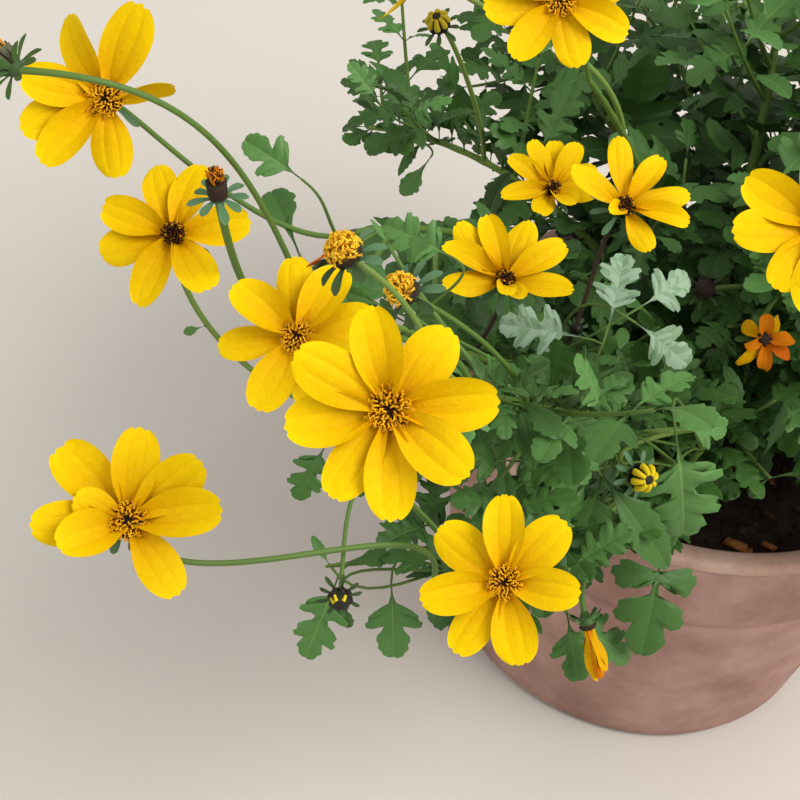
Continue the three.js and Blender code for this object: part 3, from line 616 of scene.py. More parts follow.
def floret(cluster, foot, way, out, length, lean, girth, foot_finish, tip_finish, key, fork=True):
    """A short curly tube that leans out, with a forked tip."""
    aside = way.cross(out).normalized()
    sway = aside * length * 0.5 * (chance(key, 1, 11) - 0.5)
    knee = foot + way * length * 0.7 + sway
    tip = foot + way * length * (1 - 0.4 * lean) + out * length * lean - sway
    curve = Curve(foot, knee, tip)
    spots = curve.spots(6)
    tube(cluster, spots[:4], lambda t: girth * (0.75 + 0.25 * t), foot_finish, 5, capped=False)
    tube(cluster, spots[3:], lambda t: girth * (1 - 0.2 * t), tip_finish, 5)
    ahead = curve.way(1)
    for hand in (-1, 1) if fork else ():
        middle = spots[-1] + ahead * length * 0.12 + aside * hand * length * 0.12
        end = middle + aside * hand * length * 0.14 - ahead * length * 0.02
        tube(cluster, [spots[-1], middle, end], lambda t: girth * (0.75 - 0.3 * t), tip_finish, 4)


def around_dome(spot, axis, radius, height, count, key):
    """Spots spread evenly over a dome, each with its way out and its share of the radius."""
    right, over, axis = frame_of(axis)
    for k in range(count):
        share = math.sqrt((k + 0.5) / count)
        out = spoke(right, over, k * GOLDEN_TURN + key)
        yield k, spot + out * radius * share + axis * height * math.sqrt(max(0, 1 - share ** 2)), out, share


def flower_disc(spot, axis, radius, key, dark):
    low = radius * (0.5 if dark else 0.32)
    dome(FLORETS, spot, axis, radius * 0.8, low, DARK)
    for k, foot, out, share in around_dome(spot, axis, radius * 0.78, low, 72, key):
        size = radius * 0.42 * (0.8 + 0.4 * chance(key, k, 3))
        way = (axis + out * share * (0.35 if dark else 0.7)).normalized()
        lean, ends, fork = 0.5, (BROWN, YELLOW if k % 2 else GOLD), True
        if dark:
            bright = chance(key, k, 6) > 0.72 and share > 0.4
            lean, ends, fork = 0.1, (DARK, GOLD if bright else BROWN if k % 3 else DARK), False
        elif share > 0.3:
            lean = 0.25 + 0.5 * share * chance(key, k, 5)
            ends = ORANGE if k % 2 else BROWN, YELLOW if chance(key, k, 6) > 0.3 else GOLD
        long = size * (1.2 if dark else 1 if share > 0.3 else 0.8)
        floret(FLORETS, foot, way, out, long, lean, 0.26 if dark else 0.25, *ends, key + k, fork)


def bract(foot, out, axis, length, width, lift, sag, number):
    """A small narrow leaf that points out, widest past its middle."""
    t = np.linspace(0, 1, 7)[:, None]
    s = np.array([-1, 0, 1])[None, :]
    half = width / 2 * np.interp(t, [0, 0.2, 0.5, 0.75, 0.9, 1], [0.5, 0.5, 0.85, 1, 0.8, 0.3])
    bend = lift - sag * t
    along, above = bent(bend, length / 6)
    z = 0.25 * half * np.abs(s)
    points = np.stack([along - z * np.sin(bend), half * s, above + z * np.cos(bend)], axis=2).reshape(-1, 3)
    BRACTS.add(points @ setting(out, axis) + np.array(foot), grid_faces(7, 3), number)


def add_bracts(spot, axis, reach, length, lift, sag, key, number=BLUE_GREEN, count=8, width=2.2, ragged=0.3,
               painted_light_finish=None):
    """A ring of bracts, where those that point up may take a lighter finish as painted light."""
    right, over, axis = frame_of(axis)
    for k in range(count):
        out = spoke(right, over, FULL_TURN * (k + 0.3 * chance(key, k, 7)) / count + key)
        tilt = lift + ragged * (chance(key, k, 8) - 0.5)
        size = length * (0.8 + 0.35 * chance(key, k, 9))
        # Bracts that point up take the lighter finish: painted light on the upper side.
        shade = number if painted_light_finish is None or out.z < 0.2 else painted_light_finish
        bract(spot + out * reach, out, axis, size, width, tilt, sag, shade)


CUP = [(1, 0), (1.02, -0.2), (0.9, -0.5), (0.6, -0.8), (0.3, -1)]


def add_cup(spot, axis, radius, depth, number):
    """The green cup behind a head, from its rim down to its stalk."""
    turned(BRACTS, spot, axis, [(radius * reach, depth * level) for reach, level in CUP], 12, number, 0.05)


def grow_flower(spec, key, spot, right, over, axis, size):
    dark = spec.get("dark", False)
    disc = size * (0.085 if dark else 0.095)
    petals = spec["petals"]
    even = isinstance(petals, int)
    if even:
        petals = [40 * key + 360 / petals * (k + 0.22 * (chance(key, k, 1) - 0.5)) for k in range(petals)]
    for k, petal in enumerate(petals):
        petal = petal if isinstance(petal, tuple) else (petal,)
        angle, share, raised, rolled = petal + (0, 1, 0, 0)[len(petal):]
        out = spoke(right, over, math.radians(angle)) if even else seen_at(angle, spot, axis)
        base = spot + out * disc * 0.45 + axis * (0.25 * (k % 2) - 0.3)
        length = (size / 2 - disc * 0.45) * share * (0.97 + 0.06 * chance(key, k, 2))
        wide = 0.7 if share < 0.7 else 1.22 if share > 1.2 else 1
        width = size * 0.25 * spec.get("slim", 1) * wide * (0.92 + 0.16 * chance(key, k, 3))
        lift = 0.26 + spec.get("cup", 0.0) + raised + 0.24 * (chance(key, k, 4) - 0.5) + 0.1 * (k % 2)
        sag = 0.2 + 0.4 * chance(key, k, 5) + 0.5 * raised
        curl = -0.9 if raised > 1 else 0.3 * (chance(key, k, 7) - 0.4)
        twist = 0.5 * (chance(key, k, 6) - 0.5)
        if rolled > 0.8:
            curl, sag = -0.9, 0.5
        add_petal(base, out, axis, length, width, key * 10 + k, lift, sag, twist, curl, None, rolled)
    flower_disc(spot + axis * 0.5, axis, disc, key, dark)
    add_cup(spot - axis * 0.2, axis, disc * 0.95, size * 0.09, GREEN)
    long = size * 0.17 * spec.get("bracts", 1)
    add_bracts(spot - axis * size * 0.04, axis, disc * 0.8, long, -0.25, 0.3, key)


# Each form of seed head, in shares of its size and the numbers of its finishes
COLUMN = dict(radius=0.105, tall=0.22, below=0.5, flare=0.06, side=HEAD_BROWN, widen=1, rise=0.35, crest=DARK,
              florets=44, bract=0.29, lift=0.1, sag=0.35, green=BLUE_GREEN, painted_light_finish=None)
SEED_FORMS = {
    "column": COLUMN,
    "arched": COLUMN | dict(tall=0.17, flare=0.7, side=HEAD_GREY, widen=1.6, crest=ORANGE, lift=0.15,
                            green=GREEN),
    # A dome head's bracts that point up are a lighter green than the others, as painted light.
    "dome": COLUMN | dict(radius=0.17, tall=0.09, below=1.6, rise=1.05, crest=OLIVE, florets=130, bract=0.34,
                          lift=0.15, sag=0.7, green=DARK_GREEN, painted_light_finish=BLUE_GREEN),
}
SEED_RIBS = 13


def grow_seed(spec, key, spot, right, over, axis, size):
    name = spec.get("form", "dome")
    form = SEED_FORMS[name]
    arched = name == "arched"
    radius, tall = size * form["radius"], size * form["tall"]
    foot = spot - axis * tall * form["below"]
    crest = foot + axis * tall
    add_cup(foot, axis, radius, size * 0.1, DARK_GREEN)
    tube(BRACTS, [foot, foot + axis * tall * 0.5, crest], lambda t: radius * (1 + form["flare"] * t),
         form["side"], 18, 0.14)
    for k in range(SEED_RIBS if arched else 0):
        out = spoke(right, over, FULL_TURN * (k + 0.5 * chance(key, k, 15)) / SEED_RIBS)
        rib = [foot + out * radius, foot + out * radius * 1.4 + axis * tall * 0.5,
               foot + out * radius * 1.75 + axis * tall * (1 + 0.3 * chance(key, k, 16))]
        tube(BRACTS, rib, lambda t: 0.36 * (1 - 0.3 * t), HEAD_BROWN, 6)
    wide = radius * form["widen"]
    rise = wide * form["rise"]
    dome(HEAD_FLORETS, crest, axis, wide * 1.02, rise, form["crest"])
    for k, place, out, share in around_dome(crest, axis, wide * 0.98, rise, form["florets"], key):
        bright = chance(key, k, 6)
        if name == "dome":
            way = (axis * (1.2 - share) + out * share * 1.1).normalized()
            aside = way.cross(right)
            flat = spoke(aside.normalized(), way.cross(aside).normalized(), FULL_TURN * chance(key, k, 12))
            way = (way * 0.75 + flat * 0.7).normalized()
            length = wide * 0.42 * (0.8 + 0.4 * chance(key, k, 14))
            tip_finish = PALE if bright > 0.25 else GOLD
            floret(HEAD_FLORETS, place, way, flat, length, 0.7, 0.31, GOLD, tip_finish, key + k)
            continue
        ends = ORANGE if k % 2 else DARK, ORANGE if bright > 0.45 else BROWN
        if arched:
            ends = GOLD, PALE if bright > 0.45 else YELLOW
        way = (axis + out * share * 0.12).normalized()
        length = wide * (0.9 if arched else 1.25)
        floret(HEAD_FLORETS, place - out * share * 0.3, way, out, length, 0.05, 0.25, *ends, key + k, arched)
    add_bracts(foot - axis * size * 0.03, axis, radius * 0.8, size * form["bract"], form["lift"], form["sag"],
               key, form["green"], 9, 2.7, spec.get("ragged", 0.3), form["painted_light_finish"])
    if "petal" in spec:
        out = seen_at(spec["petal"], spot, axis)
        add_petal(crest + out * wide * 0.9, out, axis, size * 0.36, size * 0.2, key, 0.15, 0.6, 0.9, 0.5,
                  WITHERED)


def grow_bud(spec, key, spot, right, over, axis, size):
    """A round bud whose petals are folded over dark gaps; a riper one shows more of them."""
    ripe = spec.get("ripe", 0.8)
    radius = size * 0.4
    dark = HEAD_BROWN if "dry" in spec else BUD_DARK

    def arc(out, share, turns):
        reach = radius * share
        return [spot + out * reach * math.sin(a) - axis * reach * math.cos(a) for a in turns]

    dome(BRACTS, spot, axis, radius * 0.86, radius * 0.86, dark, 12, 4)
    dome(BRACTS, spot, -axis, radius * 0.86, radius * 0.8, dark, 12, 4)
    for mark in spec.get("marks", ()):
        spots = arc(spoke(right, over, math.radians(mark)), 0.95, (2, 2.2, 2.4, 2.55))
        number = BUD_YELLOW if mark < 140 else BUD_OLIVE
        tube(PETALS, spots, lambda t: radius * 0.13 * (0.8 + 0.4 * t), number, 7)
    for k in range(8):
        out = spoke(right, over, FULL_TURN * k / 8 + key)
        first, last = 1.5 + 0.2 * chance(key, k, 1), 2.66 + 0.12 * chance(key, k, 2)
        if ripe > 0.4:
            number = BUD_YELLOW if ripe > 0.8 else BUD_OLIVE
            spots = arc(out, 0.9, [between(first, last, i / 8) for i in range(9)])
            tube(PETALS, spots, lambda t: radius * 0.27 * (1 - 0.42 * t ** 1.5), number, 7)
        spots = arc(out, 0.86, (0.3, 0.7, 1.1, 1.5, 1.8))
        tube(BRACTS, spots, lambda t: radius * 0.36 * (1 - 0.8 * t * t), dark, 7)
    add_cup(spot - axis * radius * 0.6, axis, radius * 0.7, radius * 0.6, DARK_GREEN)
    add_bracts(spot - axis * radius * 0.8, axis, radius * 0.6, size * 0.56, 0.15, 0.5, key,
               BLUE_GREEN if ripe > 0.8 else DARK_GREEN, 9, 1.7 if ripe > 0.4 else 1.3)


def grow_wilted(spec, key, spot, right, over, axis, size):
    """A flower whose petals hang curled, or are closed to a bundle where it is near its stem's tip."""
    closed = spec["at"] > 0.6
    radius = size * 0.12
    for k in range(6 if closed else 8):
        out = spoke(right, over, FULL_TURN * (k + 0.3 * chance(key, k, 1)) / 8)
        lift = (1.5 if closed else 0.85) + (0.06 if closed else 0.8) * (chance(key, k, 2) - 0.5)
        sag = (-0.12 if closed else 1.3) * (1 + 0.8 * (chance(key, k, 3) - 0.5))
        twist = (0.6 if closed else 1.8) * (chance(key, k, 4) - 0.5)
        length = size * (0.8 if closed else 0.42) * (0.8 + 0.2 * chance(key, k, 5))
        width, curl = (size * 0.19, 0.1) if closed else (size * 0.21, 0.6)
        number = 2 if k % 2 else WILTED if k % 3 else 1
        if not closed:
            number = (2 if k % 2 else WILTED) if chance(key, k, 6) > 0.2 else WITHERED
            length *= 1.35 if k == 5 else 1
        base = spot + out * radius * 0.6
        add_petal(base, out, axis, length, width, key + k, lift, sag, twist, curl, number)
    dome(BRACTS, spot, axis, radius, radius * 0.7, HEAD_BROWN)
    add_cup(spot, axis, radius * (0.8 if closed else 1), size * 0.2, GREEN)
    long = size * (0.17 if closed else 0.26)
    add_bracts(spot - axis * size * 0.1, axis, radius * 0.8, long, -0.1, 0.5, key, GREEN)


GROWERS = {"flower": grow_flower, "seed": grow_seed, "bud": grow_bud, "wilted": grow_wilted}
BACK_OF = {"flower": 0.085, "seed": 0.14, "wilted": 0.18, "bud": 0.42, "leaf": 0}


# Leaves: half of each form's outline, from its foot to its tip, in thousandths of its length

LEAF_FORMS = {
    "five": [(0, 6), (130, 12), (220, 30), (250, 100), (290, 190), (350, 250), (410, 250), (430, 300),
             (480, 300), (490, 230), (470, 140), (490, 80), (540, 100), (590, 190), (650, 250), (710, 230),
             (750, 270), (790, 240), (780, 170), (770, 120), (820, 140), (880, 160), (920, 120), (970, 100),
             (1000, 40), (995, 0)],
    "three": [(0, 6), (170, 14), (280, 50), (320, 140), (380, 240), (450, 320), (510, 320), (540, 370),
              (600, 350), (610, 270), (590, 180), (580, 120), (640, 150), (700, 210), (770, 220),
              (810, 190), (870, 200), (920, 150), (960, 130), (1000, 60), (995, 0)],
    "spoon": [(0, 6), (200, 16), (360, 45), (480, 100), (570, 170), (640, 190), (680, 170), (740, 220),
              (800, 210), (830, 170), (890, 170), (940, 120), (970, 90), (1000, 40), (995, 0)],
    "lance": [(0, 6), (140, 14), (260, 70), (360, 120), (420, 170), (470, 140), (550, 170), (620, 150),
              (680, 160), (750, 120), (810, 120), (880, 90), (950, 50), (1000, 0)],
    "parted": [(0, 6), (80, 12), (120, 50), (100, 140), (50, 220), (20, 320), (40, 400), (90, 390),
               (120, 460), (200, 470), (230, 420), (300, 410), (340, 330), (300, 280), (310, 200),
               (250, 120), (200, 50), (260, 35), (340, 50), (390, 130), (410, 250), (470, 350), (540, 350),
               (600, 390), (670, 340), (690, 250), (660, 170), (730, 190), (820, 230), (900, 180),
               (970, 120), (1000, 50), (995, 0)],
}
LEAF_PLANS = {}
for form, outline in LEAF_FORMS.items():
    outline = np.array(outline) / 1000
    middle = np.maximum.accumulate(outline[:, 0] - 0.55 * outline[:, 1])
    middle[-1] = 0.97
    LEAF_PLANS[form] = outline, middle


def add_leaf(cluster, spot, forward, rise, length, form, key, number, bend=None, fine=False):
    """A leaf bent along its rib and folded up beside it; a fine one has a column more in each half."""
    outline, middle = LEAF_PLANS[form]
    count = len(outline)
    rib = 0.011 * (1 - 0.75 * middle)
    fold = 0.1 + 0.45 * chance(key, 1, 1)
    twist = 0.9 * (chance(key, 2, 1) - 0.5)
    bend = 0.25 + 0.8 * chance(key, 3, 1) if bend is None else bend
    vein = (0.004 if number == BLEACHED else 0.011) * np.sin(40 * middle + key)
    columns = []
    for hand in (1, -1):
        jitter = 1 + 0.16 * (chance(key, 4, hand) - 0.5)
        shift = 0.03 * (chance(key, 5, hand) - 0.5)
        x = outline[:, 0] + shift * (outline[:, 1] > 0.1)
        y = outline[:, 1] * jitter
        half_y = (rib + y) / 2
        edge = np.stack([x, hand * y, fold * y - 1.1 * y ** 2 + vein * (y > 0.05)], axis=1)
        lifted = fold * half_y - 0.4 * half_y ** 2 + (0.012 + 1.2 * vein * (y > 0.05))
        halfway = np.stack([(middle + x) / 2, hand * half_y, lifted], axis=1)
        inner = np.stack([middle, hand * rib, 0 * rib], axis=1)
        columns.append([edge, halfway, inner] if fine else [edge, inner])
    rows = np.stack([*columns[0], *reversed(columns[1])], axis=1)
    width = rows.shape[1]
    x, y, z = rows[..., 0], rows[..., 1], rows[..., 2]
    turn = twist * x
    y, z = y * np.cos(turn) - z * np.sin(turn), y * np.sin(turn) + z * np.cos(turn)
    bow = bend * x + 1e-9
    px = np.sin(bow) / (bend + 1e-9) + z * np.sin(bow)
    pz = (np.cos(bow) - 1) / (bend + 1e-9) + z * np.cos(bow)
    points = np.stack([px, y, pz], axis=2).reshape(-1, 3) * length
    numbers = np.full((count - 1, width - 1), number)
    if number == BLEACHED:
        spray = np.array([[chance(key, r, c) for c in range(width - 1)] for r in range(count - 1)])
        numbers[spray > 0.55] = GREYED
    else:
        # The rib's tone follows the leaf's green, so it carries the leaf's painted light and shade too.
        numbers[:, (width - 1) // 2] = RIB_LIGHT if number > LEAF_GREEN else RIB_DARK
    cluster.add(points @ setting(forward, rise) + np.array(spot), grid_faces(count, width), numbers.ravel())


# Where everything of the plant is, so that leaves keep to their own room


class Room:
    """Spots that are taken, in cells, to find what is near a place."""

    def __init__(self, cell):
        self.cell = cell
        self.cells = {}

    def key(self, spot):
        return tuple(int(math.floor(c / self.cell)) for c in spot)

    def add(self, spot):
        self.cells.setdefault(self.key(spot), []).append(tuple(spot))

    def nearest(self, spot):
        a, b, c = self.key(spot)
        near = [(i, j, k) for i in (a - 1, a, a + 1) for j in (b - 1, b, b + 1) for k in (c - 1, c, c + 1)]
        others = [other for cell in near for other in self.cells.get(cell, ())]
        return min((math.dist(other, spot) for other in others), default=1e5)


def stalk_curve(one, spec):
    """From a stem to the back of a head or the foot of a leaf, or on from another head's stalk."""
    share = one["begin"] + (1 - one["begin"]) * spec["at"]
    foot, way = one["curve"].at(share), one["curve"].way(share)
    if "on" in spec:
        bearer, share = spec["on"]
        foot = one["stalks"][bearer].at(share)
    axis = spec["face"].normalized()
    end = spec["place"] - axis * spec["across"] * BACK_OF[spec["kind"]]
    reach = (end - foot).length
    leave = Vector(spec["leave"]) if "leave" in spec else (way * 0.4 + UP * 0.35) * reach * 0.7
    if spec["kind"] == "leaf":
        leave = (end - foot) * 0.4 + UP * reach * 0.06
    come = Vector(spec["come"]) if "come" in spec else axis * reach * -0.35
    return Curve(foot, foot + leave, end + come, end)


# What leaves keep clear of. Zones lie in front of each head, and from a flower that the photo shows
# lit to the light: the middle, axis, radius and widening of each, and the levels where it begins
# and ends. Sights are the shown heads' discs in the picture.
SIGHT_SHARE = {"flower": 0.52, "seed": 0.6, "wilted": 0.5, "bud": 1.1}
LIGHT_PLACE = Vector((1900, -700, 2800))
limb_spots, zones, sights = [], [], []
for index, one in enumerate(STEMS):
    one["index"] = index
    one["named"] = one in NAMED_STEMS
    out = Vector((one["knee"].x, one["knee"].y, 0)).normalized() * STEM_FOOT_OUT
    one["curve"] = Curve(Vector((out.x, out.y, one["foot"])), one["knee"], one["tip"])
    one["begin"] = 0.2 if one["heads"] else 0.12
    on_rim = one["name"].startswith("rim")
    one["leaves"] = NAMED_LEAVES if one["named"] else RIM_LEAVES if on_rim else TOP_LEAVES
    one["length"] = one["curve"].length() * (1 - one["begin"])
    one["nodes"] = round(one["length"] / NODE_SPACING)
    one["stalks"] = []
    for spec in one["heads"]:
        if spec["at"] < 1:
            node = min(one["nodes"] - 1, math.floor(spec["at"] * one["nodes"]))
            spec["at"] = (node + 0.5) / one["nodes"]
        one["stalks"].append(stalk_curve(one, spec))
        spot, axis, size, kind = spec["place"], spec["face"].normalized(), spec["across"], spec["kind"]
        if one["named"] and kind != "leaf":
            across, under, deep = seen(spot)
            sights.append((across, under, FOCUS * size * SIGHT_SHARE[kind] / deep, deep + 8))
        if kind in ("flower", "wilted"):
            zones.append((spot, axis, size / 2 + 1, 0.15, -4, 26))
        elif kind == "seed":
            zones.append((spot, axis, size * 0.4, 0.15, -3, 14))
        if "lit" in spec:
            zones.append((spot, (LIGHT_PLACE - spot).normalized(), size * 0.55, 0, 0, 170))
    for curve in [one["curve"], *one["stalks"]]:
        limb_spots += [(spot, index) for spot in curve.spots(max(3, int(curve.length() / 3)))]
limb_tree = kdtree.KDTree(len(limb_spots))
for i, (spot, _) in enumerate(limb_spots):
    limb_tree.insert(spot, i)
limb_tree.balance()

BOX_LOW = cad_box[0] / MM + Vector((1, 1, 1)) * BOX_MARGIN
BOX_HIGH = cad_box[1] / MM - Vector((1, 1, 1)) * BOX_MARGIN

# Parts of the picture that are bare of leaves, as left, top, right and bottom
BARE = [(-400, -400, 262, 1200), (262, -400, 340, 150), (262, 672, 600, 1200), (600, 560, 1200, 1200),
        (262, 400, 345, 540), (420, 147, 478, 215), (690, 498, 900, 565), (262, 590, 425, 672),
        (340, 150, 392, 214)]


def in_box(spot):
    return all(low <= c <= high for low, c, high in zip(BOX_LOW, spot, BOX_HIGH))


def clear_of_pot(spot):
    out = math.hypot(spot.x, spot.y)
    inside = out < RIM_RADIUS - WALL - POT_CLEARANCE and spot.z > COMPOST_TOP + POT_CLEARANCE
    return spot.z > POT_HEIGHT + POT_CLEARANCE or out > RIM_RADIUS + POT_CLEARANCE or inside


def clear_of_zones(spot):
    for middle, axis, radius, widening, back, front in zones:
        away = spot - middle
        level = away.dot(axis)
        if back < level < front and (away - axis * level).length < radius + widening * max(0, level):
            return False
    return True


def clear_of_sight(spot):
    """True where a spot is out of the bare parts and hides none of the named stems' heads."""
    across, under, deep = seen(spot)
    if any(left < across < right and top < under < bottom for left, top, right, bottom in BARE):
        return False
    return not any(deep < depth and math.hypot(across - left, under - top) < radius
                   for left, top, radius, depth in sights)


def room_for(spot, index):
    """True where a spot is in its own spray's room and clear of limbs, flowers, pot and box."""
    if not (clear_of_pot(spot) and in_box(spot) and clear_of_zones(spot) and clear_of_sight(spot)):
        return False
    _, nearest, away = limb_tree.find(spot)
    if limb_spots[nearest][1] == index:
        return True
    if away < LIMB_CLEARANCE:
        return False
    own = limb_tree.find(spot, filter=lambda i: limb_spots[i][1] == index)
    return own[2] < away + OWN_LEAD


# Growth

taken = Room(10)
LEAF_SHARES = (1, 0.8, 0.62, 0.48)
SMALL_LEAF = 15
PAINTED_LIGHT_FROM = 150
PAINTED_LIGHT_RISE = 150
TWIG_SHARES = (1, 0.7, 0.5)
TWIG_NODES = (0.35, 0.6, 0.82)
TWIG_ROOM = 2.5
STALK_NODES = (0.3, 0.55)
NODE_TURN = 0.75
SIDE_TURN = 2.0944
TWIG_TESTS = [0.3, 0.5, 0.7, 0.85, 1]
LEAF_TESTS = [(x, 0) for x in TWIG_TESTS] + [(0.5, 0.22), (0.5, -0.22), (0.7, 0.2), (0.7, -0.2)]
LEAF_RISE = Vector((0.1, -0.6, 0.8))
FORM_ORDER = ["five", "three", "five", "spoon", "three", "lance", "five"]


def leaf_on(one, spot, forward, length, key):
    """Adds a leaf as long as there is room for, if there is any."""
    index = one["index"]
    forward = forward.normalized()
    rise = UP if abs(forward.z) < 0.95 else Vector((forward.x, forward.y, 0.1))
    rows = setting(forward, rise)
    for share in LEAF_SHARES:
        size = length * share
        tests = [Vector(np.array((x, y, -0.15 * x * x)) @ rows) * size + spot for x, y in LEAF_TESTS]
        if not all(room_for(test, index) for test in tests):
            continue
        if any(taken.nearest(test) < CROWDING * size for test in tests):
            continue
        form = FORM_ORDER[int(chance(index, key, 21) * len(FORM_ORDER))]
        if size < SMALL_LEAF:
            form = "spoon" if chance(index, key, 22) > 0.4 else "lance"
        # Higher leaves take lighter greens and lower ones darker: painted light and shade by height, mixed
        # with a random share.
        height = min(1, max(0, (spot.z - PAINTED_LIGHT_FROM) / PAINTED_LIGHT_RISE))
        light = 0.25 * chance(index, key, 23) + 0.45 * height + 0.3 * chance(index, key, 24)
        number = int(min(4, max(0, 4.3 * light)))
        seed = index * 997 + key
        add_leaf(one["leaves"], spot, forward, rise, size, form, seed, number, None, one["named"])
        for test in tests:
            taken.add(test)
        return True
    return False


def outward(way, side, lean_up=0.3):
    return side * 0.85 + way * 0.35 + UP * lean_up


def leaf_size(one, share, key):
    variety = LEAF_SMALLEST + LEAF_VARIETY * chance(one["index"], key, 25)
    return LEAF_LENGTH * (LEAF_AT_FOOT - LEAF_TAPER * share) * variety


def side_of(way, angle):
    start = square(way)
    return Matrix.Rotation(angle, 3, way) @ (start - way * start.dot(way)).normalized()


def twig_on(one, spot, way, side, share, key):
    """Adds a twig with leaves at its nodes and its tip, if there is room for one."""
    goal = outward(way, side).normalized()
    length = TWIG_LENGTH * (0.6 + 0.5 * chance(one["index"], key, 10))
    for shorter in TWIG_SHARES:
        reach = length * shorter
        twig = Curve(spot, spot + goal * reach * 0.5, spot + goal * reach + UP * reach * 0.15)
        tests = [twig.at(part) for part in TWIG_TESTS]
        if all(room_for(test, one["index"]) and taken.nearest(test) > TWIG_ROOM for test in tests):
            break
    else:
        return False
    for test in tests:
        taken.add(test)
    last = 0
    for i, part in enumerate(TWIG_NODES):
        along = twig.way(part)
        for k in range(2 if i else 3):
            out = side_of(along, math.pi * k + 1.57 * i + key)
            number = key * 31 + i * 5 + k
            size = leaf_size(one, share, number) * (0.9, 0.85, 0.8)[i] * (0.75 + 0.25 * shorter)
            if leaf_on(one, twig.at(part) + out * 0.5, outward(along, out), size, number):
                last = part
    if leaf_on(one, twig.at(1), twig.way(1) + UP * 0.1, leaf_size(one, share, key) * 0.9, key * 31 + 17):
        last = 1
    if last:
        spots = [twig.at(last * i / 8) for i in range(9)]
        tube(TWIGS, spots, lambda t: TWIG_RADIUS * (1.15 - 0.5 * t), key % 2, 6, 0.08)
    return last > 0


def swollen(t, one):
    """How much thicker a limb is at its nodes."""
    if t < one["begin"]:
        return 1
    phase = ((t - one["begin"]) / (1 - one["begin"]) * one["nodes"]) % 1
    return 1 + 0.2 * math.exp(-((phase - 0.5) / 0.2) ** 2)


for one in STEMS:
    index = one["index"]
    foot_radius = STEM_FOOT_RADIUS * (1 if one["heads"] else 0.7)
    tube(BOUGHS, one["curve"].spots(max(24, int(one["length"] / 2.2))),
         lambda t: between(foot_radius, STEM_TIP_RADIUS, t ** 0.8) * swollen(t, one), index % 2, 12, 0.06)
    for i, (spec, curve) in enumerate(zip(one["heads"], one["stalks"])):
        key = index * 10 + i
        if spec["kind"] == "leaf":
            tube(STALKS, curve.spots(12), lambda t: PETIOLE_RADIUS * (1.4 - 0.5 * t), 0, 6)
            number = BLEACHED if "bleached" in spec else LEAF_GREEN + i % 2
            add_leaf(one["leaves"], spec["place"], spec["face"], LEAF_RISE, spec["across"], spec["form"], key,
                     number, 0.35, True)
            continue
        girth = STALK_RADIUS * spec.get("girth", 1.1 if spec["kind"] == "seed" else 0.9)
        number = BROWN_STALK if "tint" in spec else key % 2
        tube(STALKS, curve.spots(max(12, int(curve.length() / 3.5))),
             lambda t: girth * (1.1 - 0.2 * t + 0.25 * t ** 8), number, 10, 0.07, capped=False)
        GROWERS[spec["kind"]](spec, key, spec["place"], *frame_of(spec["face"]), spec["across"])
        if curve.length() > 34 and spec["kind"] != "bud" and not one["named"]:
            for part in STALK_NODES:
                along = curve.way(part)
                out = side_of(along, key * 2.1 + part * 9)
                leaf_on(one, curve.at(part) + out, outward(along, out, 0.1), 17 + 8 * chance(index, i, 31),
                        900 + i * 10 + int(part * 10))

for one in STEMS:
    nodes = one["nodes"] * FINER
    for item in range(nodes):
        share = (item + 0.5) / nodes
        if share > one["leafy"] + 0.02:
            continue
        whole = one["begin"] + (1 - one["begin"]) * share
        spot, way = one["curve"].at(whole), one["curve"].way(whole)
        for side in range(3):
            out = side_of(way, item * NODE_TURN + side * SIDE_TURN)
            key = item * 7 + side
            size = leaf_size(one, share, key)
            if side == 2 and item % FINER == 0 and twig_on(one, spot + out, way, out, share, key):
                continue
            leaf_on(one, spot + out * 1.2, outward(way, out), size * (1 if item % FINER == 0 else 0.8), key)
    if not any(spec["at"] == 1 for spec in one["heads"]):
        leaf_on(one, one["curve"].at(1), one["curve"].way(1), leaf_size(one, 1, 99) * 1.1, 991)

sprays = [f"{one['name']}_spray" for one in STEMS]
bough_nodes = [f"{one['name']}_stem" for one in STEMS if one["heads"]]
named_count = len(NAMED_STEMS)
rim_end = named_count + RINGS[0]["count"]
PETALS.object("petals", PETAL_FINISHES, "leaf", sprays)
FLORETS.object("florets", FLORET_FINISHES, "leaf", sprays)
HEAD_FLORETS.object("seed_head_florets", FLORET_FINISHES, "leaf", sprays)
BRACTS.object("bracts", CALYX_FINISHES, "leaf", sprays)
STALKS.object("flower_stalks", STALK_FINISHES, "stem", sprays)
TWIGS.object("twigs", STALK_FINISHES, "stem", sprays)
NAMED_LEAVES.object("leaves_of_named_stems", LEAF_FINISHES, "leaf", sprays[:named_count])
RIM_LEAVES.object("leaves_of_rim_stems", LEAF_FINISHES, "leaf", sprays[named_count:rim_end])
TOP_LEAVES.object("leaves_of_top_and_heart", LEAF_FINISHES, "leaf", sprays[rim_end:])
BOUGHS.object("boughs", STALK_FINISHES, "stem", bough_nodes)


# Crown, pot and compost

TERRACOTTA = mottled("terracotta", (176, 142, 131), (140, 104, 94), 0.85, 28, 0.35, 0.0006)
# The lip's finish is lighter than the body's: a painted highlight on the rim's top.
PAINTED_LIP_HIGHLIGHT = mottled("terracotta_lip_painted_highlight", (198, 168, 152), (166, 130, 115), 0.85, 40, 0.35, 0.0006)
SOIL = mottled("compost", (62, 44, 32), (26, 18, 14), 0.95, 120, 0.8, 0.0012)
CRUMB_FINISHES = [
    mottled("crumb_dark", (48, 34, 26), (22, 16, 12), 0.95, 300, 0.6, 0.0006),
    mottled("crumb_brown", (84, 58, 40), (46, 30, 22), 0.95, 300, 0.6, 0.0006),
    mottled("bark_chip", (196, 128, 66), (142, 84, 40), 0.9, 200, 0.6, 0.0006),
]
CRUMB_BROWN, BARK_CHIP = 1, 2
BARK = mottled("crown_bark", (124, 112, 72), (72, 58, 38), 0.85, 160, 0.8, 0.0012)


def rough(x, y, z, scale):
    return noise.fractal(Vector((x, y, z)) / scale, 0.9, 2.0, 3)


